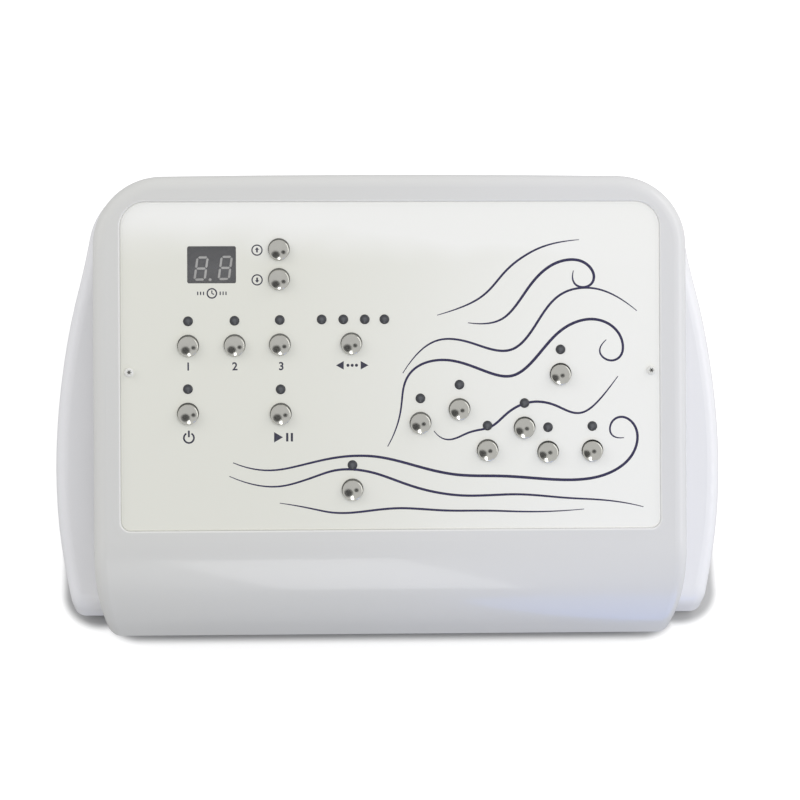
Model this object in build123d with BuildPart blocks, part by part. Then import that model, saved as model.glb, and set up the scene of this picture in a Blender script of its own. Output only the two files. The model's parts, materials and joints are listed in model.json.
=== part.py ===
"""Compression therapy pump: a wedge-shaped desktop console that inflates the chambers of a garment.

Frame: +Z up, +X to the operator's right, the operator sits at -Y. The origin is under the middle
of the console, on the surface that it stands on. Lengths are millimetres, angles are degrees.
The sloping face has its own plane: local x runs across, local y up the slope, local z out of it,
with its origin at the middle of the control panel. A depth is measured into the console from there.
"""

from math import cos, radians, sin, tan
import os

from build123d import *

os.makedirs("parts", exist_ok=True)

# ---------------------------------------------------------------- front cover
tilt = 30.0  # slope of the control face above the horizontal
wall = 2.8  # moulded shells
panel_width = 279.8
panel_height = 170.0
panel_thickness = 2.0
panel_corner_top = 13.0
panel_corner_bottom = 5.0
panel_edge = 0.6  # bevel round the panel's face
panel_sink = 1.2  # panel's face below the cover's face
panel_gap = 0.15  # clearance round the panel
ledge_width = 9.0  # rebate that carries the panel
ledge_thickness = 2.5
recess_edge = 1.0  # rounding of the cover's edge round the panel

frame_side = 14.4  # cover beside the panel
frame_top = 14.4  # cover above the panel
chin_length = 57.0  # cover below the panel, along the slope
chin_radius = 52.0
chin_straight = 14.0  # the sides run straight this far below the panel
chin_narrowing = 6.5  # how far each side draws in along the chin
chin_clearance = 10.0  # front rim above the table
cover_depth = 36.0  # face to rim
cover_corner = 36.0
cover_edge = 7.0  # rounding of the cover's edge
cover_bow = 1.4  # rise of the top edge in the middle

# ---------------------------------------------------------------- case
case_bottom = 4.0  # underside above the table
case_edge = 7.0
case_front_inset = 14.8  # wings' front behind the chin's front
case_front_radius = 12.0
case_rear_step = 1.0  # case inside the cover at the top edge
shell_gap = 0.4  # clearance between nested shells
plinth_height = 5.0  # rim that rises into the cover
deck_ledge = 14.0  # opening in the deck inside the cover's outline
floor_thickness = 2.8
deck_front_ledge = 34.0
vent_x = 26.0
vent_y = 14.0  # middle of the rows, behind the main board
vent_pitch = 8.0
vent_count = 5
vent_length = 32.0
vent_width = 3.0
# Half the case's width at distances up the slope from the panel's middle.
wing_shape = [(160.2, 60.0), (166.9, 32.0), (172.8, 0.0), (176.8, -58.0), (174.2, -94.0), (168.2, -128.0)]
wing_foot = (158.0, -175.0)  # where the side's line ends, below the table
wing_corner = 36.0
boss_radius = 3.6
boss_height = 18.0

# ---------------------------------------------------------------- fasteners
screw_radius = 1.5
screw_head_radius = 3.0
screw_head_height = 1.8
screw_play = 0.05  # clearance of a shank in a hole
small_screw_radius = 1.2
small_head_radius = 2.4
small_head_height = 1.5
board_screw_length = 8.0
fitting_screw_length = 7.0
fan_screw_length = 12.0
foot_screw_length = 11.0
bracket_screw_length = 14.0
lid_screw_length = 12.0
cover_screw_inset = 8.6  # from the cover's outline
cover_screw_top_inset = 41.4  # upper row under the cover's top
cover_screw_middle = -22.0  # middle row up the slope
cover_screw_low_inset = 54.0  # lower row above the cover's lower end
cover_screw_length = 16.0
floor_screw_end_inset = 24.6  # rear row in front of the rear wall
floor_screw_length = 14.0
floor_screw_wall_gap = 9.0  # from the case's outside

# ---------------------------------------------------------------- feet
foot_radius = 9.0
foot_recess_radius = 4.0
foot_recess_depth = 2.2
foot_spread_x = 128.0
foot_end_inset = 28.6  # feet in front of the rear wall

# ---------------------------------------------------------------- controls
button_radius = 5.3
button_play = 0.35  # clearance in the panel's holes
button_rise = 2.0  # edge of the cap above the panel
button_dome = 0.7  # crown above the cap's edge
button_edge = 1.0  # rounding of the cap's shoulder
button_travel = 1.5
button_flange_radius = 6.4
button_flange_thickness = 1.2
button_flange_gap = 0.4  # under the panel
stem_radius = 1.6
stem_gap = 0.4  # in the switch
switch_size = 8.5
switch_floor = 1.0
switch_spring = 2.5  # room under the pressed stem
switch_reach = 2.0  # stem's length inside the switch at rest
board_depth = 17.0  # component side of the panel's board under the cover's face
board_thickness = 1.6
board_half_width = 138.5
board_half_height = 72.0
board_post_x = 135.4
board_post_rows = (64.0, 26.0, -26.0, -64.0)
board_post_radius = 3.2
board_bore_depth = 9.0
panel_screw_x = 135.4
panel_screw_y = -3.0
panel_screw_length = 10.0
panel_boss_length = 6.0  # behind the ledge
light_radius = 2.45
light_rise = 0.9
light_dome = 1.2
light_play = 0.1
light_flange_radius = 2.9
light_offset = 12.6  # a light above its button

# Places of the setting buttons: across from the panel's middle, and down from its top edge.
setting_buttons = {
    "timer_up_button": (-57.9, 24.5),
    "timer_down_button": (-57.9, 39.9),
    "large_size_button": (-105.0, 74.3),
    "medium_size_button": (-81.0, 74.1),
    "small_size_button": (-57.6, 73.8),
    "select_button": (-20.6, 73.4),
    "power_button": (-105.2, 109.4),
    "start_button": (-57.3, 109.7),
}
# Places of the zone buttons: across from the panel's middle, and up from its lower edge.
zone_buttons = {
    "zone_1_button": (-20.3, 20.9),
    "zone_2_button": (15.1, 55.3),
    "zone_3_button": (35.4, 62.3),
    "zone_4_button": (49.9, 41.0),
    "zone_5_button": (69.2, 52.6),
    "zone_6_button": (81.4, 40.0),
    "zone_7_button": (104.5, 40.5),
    "zone_8_button": (88.1, 80.4),
}
unlit_buttons = ("timer_up_button", "timer_down_button", "select_button")
select_light_columns = (-35.9, -24.7, -13.6, -3.4)
select_light_drop = 61.0  # under the panel's top edge

display_x = -92.7
display_drop = 32.5  # display's middle under the panel's top edge
display_width = 25.0
display_height = 19.0
display_lip = 1.6  # window's flange behind the panel
display_lip_thickness = 1.0
display_body = 8.0
display_header = 2.5
display_play = 0.1
display_corner = 0.9

# ---------------------------------------------------------------- rear panel
rear_plate_width = 258.0
rear_plate_height = 76.0
rear_plate_thickness = 2.0
rear_plate_z = 50.0
rear_plate_margin = 8.0  # plate's lap on the wall
rear_plate_corner = 6.0
rear_boss_length = 8.0
fitting_flange = 3.0  # thickness of the fittings' flanges
fitting_z = 44.0
rear_screw_length = 8.0

inlet_x = 99.0
inlet_width = 27.0
inlet_height = 19.8
inlet_flange_width = 48.0
inlet_flange_height = 24.0
inlet_screw_pitch = 40.0
inlet_socket_width = 24.0
inlet_socket_height = 16.5
inlet_socket_depth = 17.0
inlet_body_depth = 21.0
inlet_blade_spread = 7.0
inlet_blade_rise = 2.0
blade_thickness = 2.0
blade_height = 4.0
tab_length = 8.0
tab_width = 6.3
tab_thickness = 0.8

switch_x = 65.0
switch_lip = 1.6
rocker_front = 2.6
rocker_middle = 1.2
rocker_depth = 4.0
rocker_width = 9.0
rocker_height = 15.0
rocker_wall = 2.0
rocker_body_depth = 14.0
rocker_swing = 14.0
rocker_gap = 0.5
rocker_pin_radius = 1.0

nipple_pitch = 14.0
nipples_per_socket = 4
socket_count = 2
nipple_x = -2.0  # middle of the row
nipple_radius = 2.6
nipple_bore = 1.4
nipple_reach = 14.0  # tips behind the rear wall
barb_radius = 2.2
barb_length = 8.0
socket_height = 24.0
socket_screw_offset = 8.0

fan_x = -94.0
fan_size = 50.0
fan_depth = 15.0
fan_z = 50.0
fan_bore = 23.2
fan_screw_offset = 20.0
fan_hub = 11.0
fan_blade_gap = 0.8
fan_blade_count = 7
fan_shaft_radius = 1.5
fan_wire = 0.9
fan_blade_chord = 10.0
fan_blade_thickness = 1.2
fan_blade_pitch = 40.0
guard_rings = 4

# ---------------------------------------------------------------- air pump
pump_x = -80.0
pump_setback = 101.0  # pump's middle in front of the rear wall
pump_length = 74.0
pump_width = 62.0
pump_height = 46.0
pump_wall = 3.0
pump_lid_thickness = 4.0
pump_head_length = 20.0
pump_head_margin = 2.0  # heads are this much smaller than the pump's height
head_screw_inset = 4.0
pump_mount_height = 8.0
pump_mount_radius = 5.0
pump_stroke = 1.5  # to each side
pump_pin_radius = 2.0
pump_pin_length = 3.4
piston_gap = 0.6
lid_bore_depth = 10.0
lid_rib_pitch = 10.0
lid_rib_count = 5
lid_rib_width = 3.0
supply_barb_radius = 3.0
rod_radius = 3.0
magnet_length = 26.0
magnet_size = 16.0
piston_radius = 14.0
piston_thickness = 3.0
coil_gap = 1.2
coil_length = 34.0

manifold_setback = 37.5  # manifold's rear in front of the rear wall
manifold_height = 18.0
manifold_width = 16.0
valve_width = 12.0
valve_depth = 14.0
valve_height = 22.0
valve_stem_radius = 3.0
valve_stem_height = 5.0
valve_plate = 2.0
valve_coil_inset = 0.5
manifold_post_radius = 4.5
tube_wall = 1.2
tube_play = 0.05

# ---------------------------------------------------------------- electrics
main_board_right = 140.0  # the board's right end
main_board_front_gap = 17.3  # from the case's front to the board
main_board_width = 116.0
main_board_length = 74.0
main_board_z = 16.0
main_board_post_inset = 5.0
capacitor_radius = 6.5
capacitor_height = 16.0
relay_size = (15.0, 19.0, 12.0)
sink_size = (30.0, 5.0, 18.0)
sink_fins = 7
sink_fin_depth = 6.0
chip_size = 12.0
chip_thickness = 2.0
# Middles of the board's parts from its left, right, rear and front ends.
capacitor_insets = (28.0, 44.0)  # from the right
relay_insets = (18.0, 36.0)  # from the left
chip_insets = (22.0, 50.0)  # from the left
sink_inset = 28.0  # from the right
rear_row_inset = 17.0  # capacitors and relays, from the rear
sink_row_inset = 43.0  # from the rear
chip_row_inset = 23.0  # from the front
plug_size = (24.0, 7.0, 8.0)

transformer_x = 98.0
transformer_setback = 63.0  # transformer's middle in front of the rear wall
core_width = 57.0
core_height = 48.0
core_depth = 20.0
core_leg = 19.0
core_yoke = 9.5
coil_margin = 0.3
coil_bulge = 9.0
bracket_thickness = 1.6
bracket_foot = 12.0
bracket_width = 15.0
coil_corner = 6.0
transformer_post_height = 6.0

ribbon_width = 20.0
ribbon_thickness = 0.9
ribbon_x = 60.0
ribbon_v = -55.0
lead_radius = 1.2
lead_bend = 5.0

# ---------------------------------------------------------------- derived frame
switch_height = switch_floor + switch_spring + button_travel + switch_reach
sin_t = sin(radians(tilt))
cos_t = cos(radians(tilt))
panel_top = panel_height / 2
button_places = {name: (u, panel_top - drop) for name, (u, drop) in setting_buttons.items()}
button_places.update({name: (u, rise - panel_top) for name, (u, rise) in zone_buttons.items()})
select_lights = [(u, panel_top - select_light_drop) for u in select_light_columns]
display_place = (display_x, panel_top - display_drop)
cover_half = panel_width / 2 + frame_side
cover_top = panel_height / 2 + frame_top
cover_low = -(panel_height / 2 + chin_length)
chin_bend = -(panel_height / 2 + chin_straight)
body_depth = (cover_top - case_rear_step - cover_low) * cos_t
front_y = -(body_depth + nipple_reach) / 2
rear_y = front_y + body_depth
face_y = front_y - cover_low * cos_t - cover_depth * sin_t
face_z = chin_clearance - cover_low * sin_t + cover_depth * cos_t
floor_top = case_bottom + floor_thickness
panel_back = panel_sink + panel_thickness
ledge_back = panel_back + ledge_thickness
plinth_top = cover_depth - plinth_height
deck_back = cover_depth + wall
board_back = board_depth + board_thickness
plate_face = rear_y + rear_plate_thickness
foot_spread_y = rear_y - foot_end_inset
floor_screw_row = rear_y - floor_screw_end_inset
floor_screw_rows = (-floor_screw_row, 0.0, floor_screw_row)
cover_screw_rows = (cover_top - cover_screw_top_inset, cover_screw_middle, cover_low + cover_screw_low_inset)
pump_y = rear_y - pump_setback
pump_head_size = pump_height - pump_head_margin
manifold_rear = rear_y - manifold_setback
manifold_y = manifold_rear - manifold_width / 2
manifold_front = manifold_rear - manifold_width
transformer_y = rear_y - transformer_setback
main_board_x = main_board_right - main_board_width / 2
main_board_y = front_y + case_front_inset + main_board_front_gap + main_board_length / 2
flange_face = plate_face + fitting_flange

# The face's plane, and the vertical middle plane with x up the slope and y out of the face.
face = Plane(origin=(0, face_y, face_z), x_dir=(1, 0, 0), z_dir=(0, -sin_t, cos_t))
section = Plane(origin=(0, face_y, face_z), x_dir=(0, cos_t, sin_t), z_dir=(1, 0, 0))
face_normal = Axis((0, 0, 0), (0, -sin_t, cos_t))


def at_depth(depth):
    """The face's plane, moved a depth into the console."""
    return face.offset(-depth)


def slope_height(y, depth):
    """Height of the plane that lies a depth under the face, at a place front to back."""
    return face_z + (-depth + (y - face_y) * sin_t) / cos_t


def up_slope(y, z):
    """Distance up the slope of a point that is given front to back and by its height."""
    return (y - face_y) * cos_t + (z - face_z) * sin_t


def case_half_width(y, z):
    """Half the case's width at a point of its side, read between the points of its shape."""
    v = up_slope(y, z)
    points = sorted(wing_shape + [wing_foot], key=lambda point: point[1])
    for (low_half, low_v), (high_half, high_v) in zip(points, points[1:]):
        if v <= high_v:
            return low_half + (high_half - low_half) * (v - low_v) / (high_v - low_v)
    return points[-1][0]


def rear_plane(y):
    """An upright plane that faces the rear, with its x to the operator's left and its y upwards."""
    return Plane(origin=(0, y, 0), x_dir=(-1, 0, 0), z_dir=(0, 1, 0))


def behind(x, z):
    """A place on a rear plane for a place seen from the operator's side."""
    return (-x, z)


def corners(x, y, middle=(0, 0)):
    """The four corners of a rectangle of half sizes x and y round a middle."""
    return [(middle[0] + i * x, middle[1] + j * y) for i in (-1, 1) for j in (-1, 1)]


def save(part, name):
    """Labels a finished part and writes its file."""
    part.label = name
    export_step(part, f"parts/{name}.step")


def panel_outline(inset):
    """The panel's outline drawn in by an inset, with larger round corners at the top."""
    with BuildSketch(mode=Mode.PRIVATE) as outline:
        Rectangle(panel_width - 2 * inset, panel_height - 2 * inset)
        fillet(outline.vertices().group_by(Axis.Y)[-1], max(panel_corner_top - inset, 1.0))
        fillet(outline.vertices().group_by(Axis.Y)[0], max(panel_corner_bottom - inset, 1.0))
    return outline.sketch


def cover_outline(inset):
    """The front cover's outline seen square to the face, open-ended at the chin, drawn in by an inset."""
    half = cover_half - inset
    top_ends = cover_top - cover_bow - inset
    narrow = cover_half - chin_narrowing - inset
    with BuildSketch(mode=Mode.PRIVATE) as outline:
        with BuildLine():
            side = Line((half, top_ends), (half, chin_bend))
            chin = TangentArc(side @ 1, (narrow, cover_low), tangent=side % 1)
            tail = Line(chin @ 1, chin @ 1 + (chin % 1) * cover_depth)
            mirror(about=Plane.YZ)
            ThreePointArc((-half, top_ends), (0, cover_top - inset), (half, top_ends))
            Line(tail @ 1, (-(tail @ 1).X, (tail @ 1).Y))
        make_face()
        fillet(outline.vertices().group_by(Axis.Y)[-1], cover_corner - inset)
    return outline.sketch


def cover_volume(inset, depth):
    """The front cover's solid form down to a depth, drawn in all over by an inset."""
    radius = chin_radius - inset
    bend = cover_low + chin_radius * cos_t + (cover_depth - chin_radius * (1 - sin_t)) * sin_t / cos_t
    drop = (depth - chin_radius + radius * sin_t) / cos_t
    with BuildPart() as volume:
        with BuildSketch(section):
            with BuildLine():
                arc = CenterArc((bend, -chin_radius), radius, 90, 90 - tilt)
                rim = Line(arc @ 1, arc @ 1 - Vector(sin_t, cos_t) * drop)
                Polyline(rim @ 1, (cover_top + wall, -depth), (cover_top + wall, -inset), arc @ 0)
            make_face()
        extrude(amount=cover_half + wall, both=True)
        with BuildSketch(face):
            add(cover_outline(inset))
        extrude(amount=-depth, mode=Mode.INTERSECT)
        lower = volume.edges().filter_by(
            lambda edge: abs(face.to_local_coords(edge.center()).Z + depth) < 0.01)
        seams = volume.edges().filter_by(Axis.X) + volume.edges().filter_by(face_normal)
        fillet((volume.edges() - lower - seams).sort_by(Axis.X), cover_edge - inset)
    return volume.part


def case_outline(inset):
    """The case's outline seen square to the face, drawn in by an inset."""
    top = cover_top - case_rear_step - inset
    points = [(half - inset, v) for half, v in wing_shape + [wing_foot]]
    with BuildSketch(mode=Mode.PRIVATE) as outline:
        with BuildLine():
            side = Spline(*points, tangents=[(0.2, -1), (-0.3, -1)])
            lean = side % 0
            shoulder = side @ 0 - lean * ((top - (side @ 0).Y) / -lean.Y)
            Line(shoulder, side @ 0)
            mirror(about=Plane.YZ)
            Line(shoulder, (-shoulder.X, shoulder.Y))
            Line(side @ 1, (-(side @ 1).X, (side @ 1).Y))
        make_face()
        fillet(outline.vertices().group_by(Axis.Y)[-1], wing_corner - inset)
    return outline.sketch


def case_volume(inset, low):
    """The case's solid form from a height upwards, drawn in all over by an inset."""
    radius = case_front_radius - inset
    shelf = cover_depth + inset
    front = front_y + case_front_inset + inset
    back = rear_y - inset
    crest = slope_height(front, shelf)
    bend = radius * tan(radians(45 - tilt / 2))
    arc_start = (front, crest - bend)
    arc_end = (front + bend * cos_t, crest + bend * sin_t)
    with BuildPart() as volume:
        with BuildSketch(Plane.YZ):
            with BuildLine():
                TangentArc(arc_start, arc_end, tangent=(0, 1))
                Polyline(arc_end, (back, slope_height(back, shelf)), (back, low), (front, low), arc_start)
            make_face()
        extrude(amount=2 * cover_half, both=True)
        with BuildSketch(face):
            add(case_outline(inset))
        extrude(amount=-2 * face_z, mode=Mode.INTERSECT)
        base = volume.edges().filter_by(lambda edge: abs(edge.center().Z - low) < 0.01)
        seams = volume.edges().filter_by(Axis.X) + volume.edges().filter_by(face_normal)
        fillet((volume.edges() - base - seams).sort_by(Axis.X), case_edge - inset)
    return volume.part


def screw(length, radius=screw_radius, head_radius=screw_head_radius, head_height=screw_head_height):
    """A pan-head screw: its shank runs down from z = 0 and its head stands above."""
    with BuildPart() as fastener:
        with BuildSketch():
            Circle(head_radius)
        extrude(amount=head_height)
        chamfer(fastener.edges().sort_by(Axis.Z)[-1], head_height / 3)
        with BuildSketch():
            Circle(radius)
        extrude(amount=-length)
    return fastener.part


def small_screw(length):
    """A small pan-head screw."""
    return screw(length, small_screw_radius, small_head_radius, small_head_height)


def placed(piece, planes):
    """Copies of a piece, one on each plane, as a group of separate solids."""
    return Compound(children=[copy_at(piece, plane) for plane in planes])


def copy_at(piece, plane):
    """A copy of a piece that was drawn on the ground plane, moved to another plane."""
    return plane.location * piece


def on_face(places, depth, flipped=False):
    """Planes at places on the sloping face, facing out of it, or into the console when flipped."""
    base = at_depth(depth)
    outward = -base.z_dir if flipped else base.z_dir
    return [Plane(base.from_local_coords((u, v, 0)), x_dir=base.x_dir, z_dir=outward) for u, v in places]


def on_rear(places, y):
    """Planes at places on an upright plane that faces the rear."""
    return [Plane(origin=(x, y, z), x_dir=(-1, 0, 0), z_dir=(0, 1, 0)) for x, z in places]


def on_ground(places, z, flipped=False):
    """Planes at places on a level plane, facing up, or down when flipped."""
    return [Plane(origin=(x, y, z), x_dir=(1, 0, 0), z_dir=(0, 0, -1 if flipped else 1)) for x, y in places]


# ---------------------------------------------------------------- housing
cover_screw_x = cover_half - cover_screw_inset
cover_screw_places = [(side * cover_screw_x, v) for side in (-1, 1) for v in cover_screw_rows]
board_post_places = [(side * board_post_x, v) for side in (-1, 1) for v in board_post_rows]
panel_screw_places = [(side * panel_screw_x, panel_screw_y) for side in (-1, 1)]
cover_bore_depth = cover_screw_length - (deck_back - plinth_top) + 1.0
panel_boss_depth = ledge_back + panel_boss_length


def is_recess_rim(edge):
    """Whether an edge lies in the cover's face round the panel."""
    middle = face.to_local_coords(edge.center())
    across = panel_width / 2 + 2 * panel_gap
    upright = panel_height / 2 + 2 * panel_gap
    return abs(middle.Z) < panel_gap / 4 and abs(middle.X) < across and abs(middle.Y) < upright


cover_outside = cover_volume(0, cover_depth)
cover_inside = cover_volume(wall, cover_depth + 1)
with BuildPart() as front_cover:
    add(cover_outside)
    add(cover_inside, mode=Mode.SUBTRACT)
    with BuildSketch(at_depth(wall)):
        add(panel_outline(-ledge_thickness))
    extrude(amount=wall - ledge_back)
    with BuildSketch(at_depth(plinth_top)):
        with Locations(*cover_screw_places):
            Circle(boss_radius)
    extrude(amount=plinth_top - wall / 2)
    with BuildSketch(at_depth(board_depth)):
        with Locations(*board_post_places):
            Circle(board_post_radius)
    extrude(amount=board_depth - panel_back - ledge_thickness / 2)
    with BuildSketch(at_depth(panel_boss_depth)):
        with Locations(*panel_screw_places):
            Circle(boss_radius)
    extrude(amount=panel_boss_depth - panel_back - ledge_thickness / 2)
    with BuildSketch(face):
        add(panel_outline(-panel_gap))
    extrude(amount=-panel_back, mode=Mode.SUBTRACT)
    recess_rim = front_cover.edges().filter_by(is_recess_rim)
    fillet(recess_rim, recess_edge)
    with BuildSketch(face):
        add(panel_outline(ledge_width))
    extrude(amount=-ledge_back, mode=Mode.SUBTRACT)
    with BuildSketch(at_depth(plinth_top)):
        with Locations(*cover_screw_places):
            Circle(screw_radius + screw_play)
    extrude(amount=cover_bore_depth, mode=Mode.SUBTRACT)
    with BuildSketch(at_depth(board_depth)):
        with Locations(*board_post_places):
            Circle(small_screw_radius + screw_play)
    extrude(amount=board_bore_depth, mode=Mode.SUBTRACT)
    with BuildSketch(at_depth(panel_back)):
        with Locations(*panel_screw_places):
            Circle(small_screw_radius + screw_play)
    extrude(amount=-panel_boss_depth, mode=Mode.SUBTRACT)
save(front_cover.part, "front_cover")

deck_top = cover_top - deck_ledge
deck_low = cover_low + deck_front_ledge
floor_screw_places = [
    (side * (case_half_width(y, floor_top) - floor_screw_wall_gap), y)
    for side in (-1, 1) for y in floor_screw_rows
]
rear_screw_x = rear_plate_width / 2 - rear_plate_margin / 2
rear_screw_z = rear_plate_height / 2 - rear_plate_margin / 2
rear_screw_places = [
    (x, rear_plate_z + side * rear_screw_z) for x in (-rear_screw_x, 0, rear_screw_x) for side in (-1, 1)
]

plinth_blank = cover_volume(wall + shell_gap, cover_depth)
with BuildPart() as plinth:
    add(plinth_blank)
    with BuildSketch(at_depth(plinth_top)):
        Rectangle(4 * cover_half, 4 * cover_half)
    extrude(amount=-plinth_height, mode=Mode.INTERSECT)

case_outside = case_volume(0, case_bottom)
case_inside = case_volume(wall, case_bottom - 1)
with BuildPart() as main_case:
    add(case_outside)
    add(case_inside, mode=Mode.SUBTRACT)
    add(plinth.part)
    with BuildSketch(at_depth(plinth_top)):
        with Locations((0, (deck_top + deck_low) / 2)):
            RectangleRounded(2 * (cover_half - deck_ledge), deck_top - deck_low, cover_corner - deck_ledge)
    extrude(amount=plinth_top - deck_back - wall, mode=Mode.SUBTRACT)
    with BuildSketch(at_depth(plinth_top)):
        with Locations(*cover_screw_places):
            Circle(screw_radius + screw_play)
    extrude(amount=plinth_top - deck_back - wall, mode=Mode.SUBTRACT)
    with BuildSketch(Plane.XY.offset(floor_top)):
        for x, y in floor_screw_places:
            with Locations((x, y)):
                Circle(boss_radius)
            with Locations((x + (1 if x > 0 else -1) * boss_radius, y)):
                Rectangle(2 * boss_radius, wall)
    extrude(amount=boss_height)
    with BuildSketch(rear_plane(rear_y - wall)):
        with Locations(*[behind(x, z) for x, z in rear_screw_places]):
            Circle(boss_radius)
    extrude(amount=-rear_boss_length)
    with BuildSketch(rear_plane(rear_y)):
        with Locations((0, rear_plate_z)):
            Rectangle(rear_plate_width - 2 * rear_plate_margin, rear_plate_height - 2 * rear_plate_margin)
    extrude(amount=-wall, mode=Mode.SUBTRACT)
    with BuildSketch(rear_plane(rear_y)):
        with Locations(*[behind(x, z) for x, z in rear_screw_places]):
            Circle(screw_radius + screw_play)
    extrude(amount=-rear_screw_length, mode=Mode.SUBTRACT)
    with BuildSketch(Plane.XY.offset(floor_top)):
        with Locations(*floor_screw_places):
            Circle(screw_radius + screw_play)
    extrude(amount=floor_screw_length, mode=Mode.SUBTRACT)
save(main_case.part, "main_case")

foot_places = corners(foot_spread_x, foot_spread_y)
main_board_places = corners(main_board_width / 2 - main_board_post_inset,
                            main_board_length / 2 - main_board_post_inset, (main_board_x, main_board_y))
pump_mount_inset = pump_mount_radius + 1.0
pump_mount_places = corners(pump_length / 2 - pump_mount_inset, pump_width / 2 - pump_mount_inset,
                            (pump_x, pump_y))
valve_count = nipples_per_socket * socket_count
manifold_length = valve_count * nipple_pitch
manifold_low = fitting_z - manifold_height / 2
manifold_ear = 2 * manifold_post_radius + 1.0
manifold_ear_height = 6.0
manifold_post_places = [(nipple_x + i * (manifold_length + manifold_ear) / 2, manifold_y) for i in (-1, 1)]
core_bottom = floor_top + transformer_post_height
bracket_span = core_width + 2 * bracket_thickness + bracket_foot
bracket_places = [(transformer_x + i * bracket_span / 2, transformer_y) for i in (-1, 1)]

floor_blank = case_volume(wall + shell_gap, case_bottom)
with BuildPart() as bottom_cover:
    add(floor_blank)
    with BuildSketch(Plane.XY.offset(case_bottom)):
        Rectangle(4 * cover_half, 4 * cover_half)
    extrude(amount=floor_thickness, mode=Mode.INTERSECT)
    with BuildSketch(Plane.XY.offset(case_bottom)):
        with Locations(*foot_places):
            Circle(boss_radius)
    extrude(amount=foot_screw_length)
    with BuildSketch(Plane.XY.offset(case_bottom)):
        with Locations(*main_board_places):
            Circle(board_post_radius)
    extrude(amount=main_board_z - case_bottom)
    with BuildSketch(Plane.XY.offset(case_bottom)):
        with Locations(*manifold_post_places):
            Circle(manifold_post_radius)
    extrude(amount=manifold_low - case_bottom)
    with BuildSketch(Plane.XY.offset(case_bottom)):
        with Locations(*bracket_places):
            Circle(manifold_post_radius)
        with Locations((transformer_x, transformer_y)):
            Rectangle(core_width - 2 * core_yoke, core_depth - 4)
    extrude(amount=core_bottom - case_bottom)
    with BuildSketch(Plane.XY.offset(case_bottom)):
        with Locations(*pump_mount_places):
            Circle(pump_pin_radius)
    extrude(amount=floor_thickness + pump_pin_length)
    with BuildSketch(Plane.XY.offset(case_bottom)):
        with Locations((0, vent_y)):
            with GridLocations(2 * vent_x, vent_pitch, 2, vent_count):
                SlotOverall(vent_length, vent_width)
    extrude(amount=floor_thickness, mode=Mode.SUBTRACT)
    with BuildSketch(Plane.XY.offset(case_bottom)):
        with Locations(*foot_places, *floor_screw_places):
            Circle(screw_radius + screw_play)
    extrude(amount=foot_screw_length - 1, mode=Mode.SUBTRACT)
    with BuildSketch(Plane.XY.offset(manifold_low)):
        with Locations(*manifold_post_places):
            Circle(screw_radius + screw_play)
    extrude(amount=-bracket_screw_length, mode=Mode.SUBTRACT)
    with BuildSketch(Plane.XY.offset(core_bottom)):
        with Locations(*bracket_places):
            Circle(screw_radius + screw_play)
    extrude(amount=floor_top - core_bottom, mode=Mode.SUBTRACT)
    with BuildSketch(Plane.XY.offset(main_board_z)):
        with Locations(*main_board_places):
            Circle(small_screw_radius + screw_play)
    extrude(amount=floor_top - main_board_z, mode=Mode.SUBTRACT)
save(bottom_cover.part, "bottom_cover")

with BuildPart() as foot:
    with BuildSketch():
        Circle(foot_radius)
    extrude(amount=case_bottom)
    chamfer(foot.edges().sort_by(Axis.Z)[0], 0.8)
    with BuildSketch():
        Circle(foot_recess_radius)
    extrude(amount=foot_recess_depth, mode=Mode.SUBTRACT)
    with BuildSketch():
        Circle(screw_radius + screw_play)
    extrude(amount=case_bottom, mode=Mode.SUBTRACT)
save(placed(foot.part, on_ground(foot_places, 0)), "feet")

foot_screws = placed(screw(foot_screw_length), on_ground(foot_places, foot_recess_depth, flipped=True))
floor_screws = placed(screw(floor_screw_length), on_ground(floor_screw_places, case_bottom, flipped=True))
save(Compound(children=[*foot_screws.children, *floor_screws.children]), "base_screws")
save(placed(screw(cover_screw_length), on_face(cover_screw_places, deck_back, flipped=True)), "cover_screws")

# ---------------------------------------------------------------- controls
light_places = [
    (u, v + light_offset) for name, (u, v) in button_places.items() if name not in unlit_buttons
] + select_lights

with BuildPart() as control_panel:
    with BuildSketch(at_depth(panel_back)):
        add(panel_outline(0))
        with Locations(*button_places.values()):
            Circle(button_radius + button_play, mode=Mode.SUBTRACT)
        with Locations(*light_places):
            Circle(light_radius + light_play, mode=Mode.SUBTRACT)
        with Locations(*panel_screw_places):
            Circle(small_screw_radius + screw_play, mode=Mode.SUBTRACT)
        with Locations(display_place):
            RectangleRounded(display_width + 2 * display_play, display_height + 2 * display_play,
                             display_corner + display_play, mode=Mode.SUBTRACT)
    extrude(amount=panel_thickness)
    panel_rim = control_panel.faces().sort_by(face_normal)[-1].outer_wire().edges()
    chamfer(panel_rim, panel_edge)
save(control_panel.part, "control_panel")
save(placed(small_screw(panel_screw_length), on_face(panel_screw_places, panel_sink)), "panel_screws")

with BuildPart() as display_window:
    with BuildSketch(at_depth(panel_back)):
        with Locations(display_place):
            RectangleRounded(display_width, display_height, display_corner)
    extrude(amount=panel_thickness)
    with BuildSketch(at_depth(panel_back)):
        with Locations(display_place):
            Rectangle(display_width + 2 * display_lip, display_height + 2 * display_lip)
    extrude(amount=-display_lip_thickness)
save(display_window.part, "display_window")

display_top = panel_back + display_lip_thickness
with BuildPart() as display_module:
    with BuildSketch(at_depth(display_top)):
        with Locations(display_place):
            Rectangle(display_width, display_height)
    extrude(amount=-display_body)
    with BuildSketch(at_depth(display_top + display_body)):
        with Locations(display_place):
            with GridLocations(0, display_height - display_header, 1, 2):
                Rectangle(display_width - display_header, display_header)
    extrude(amount=display_top + display_body - board_depth)
save(display_module.part, "display_module")

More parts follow.
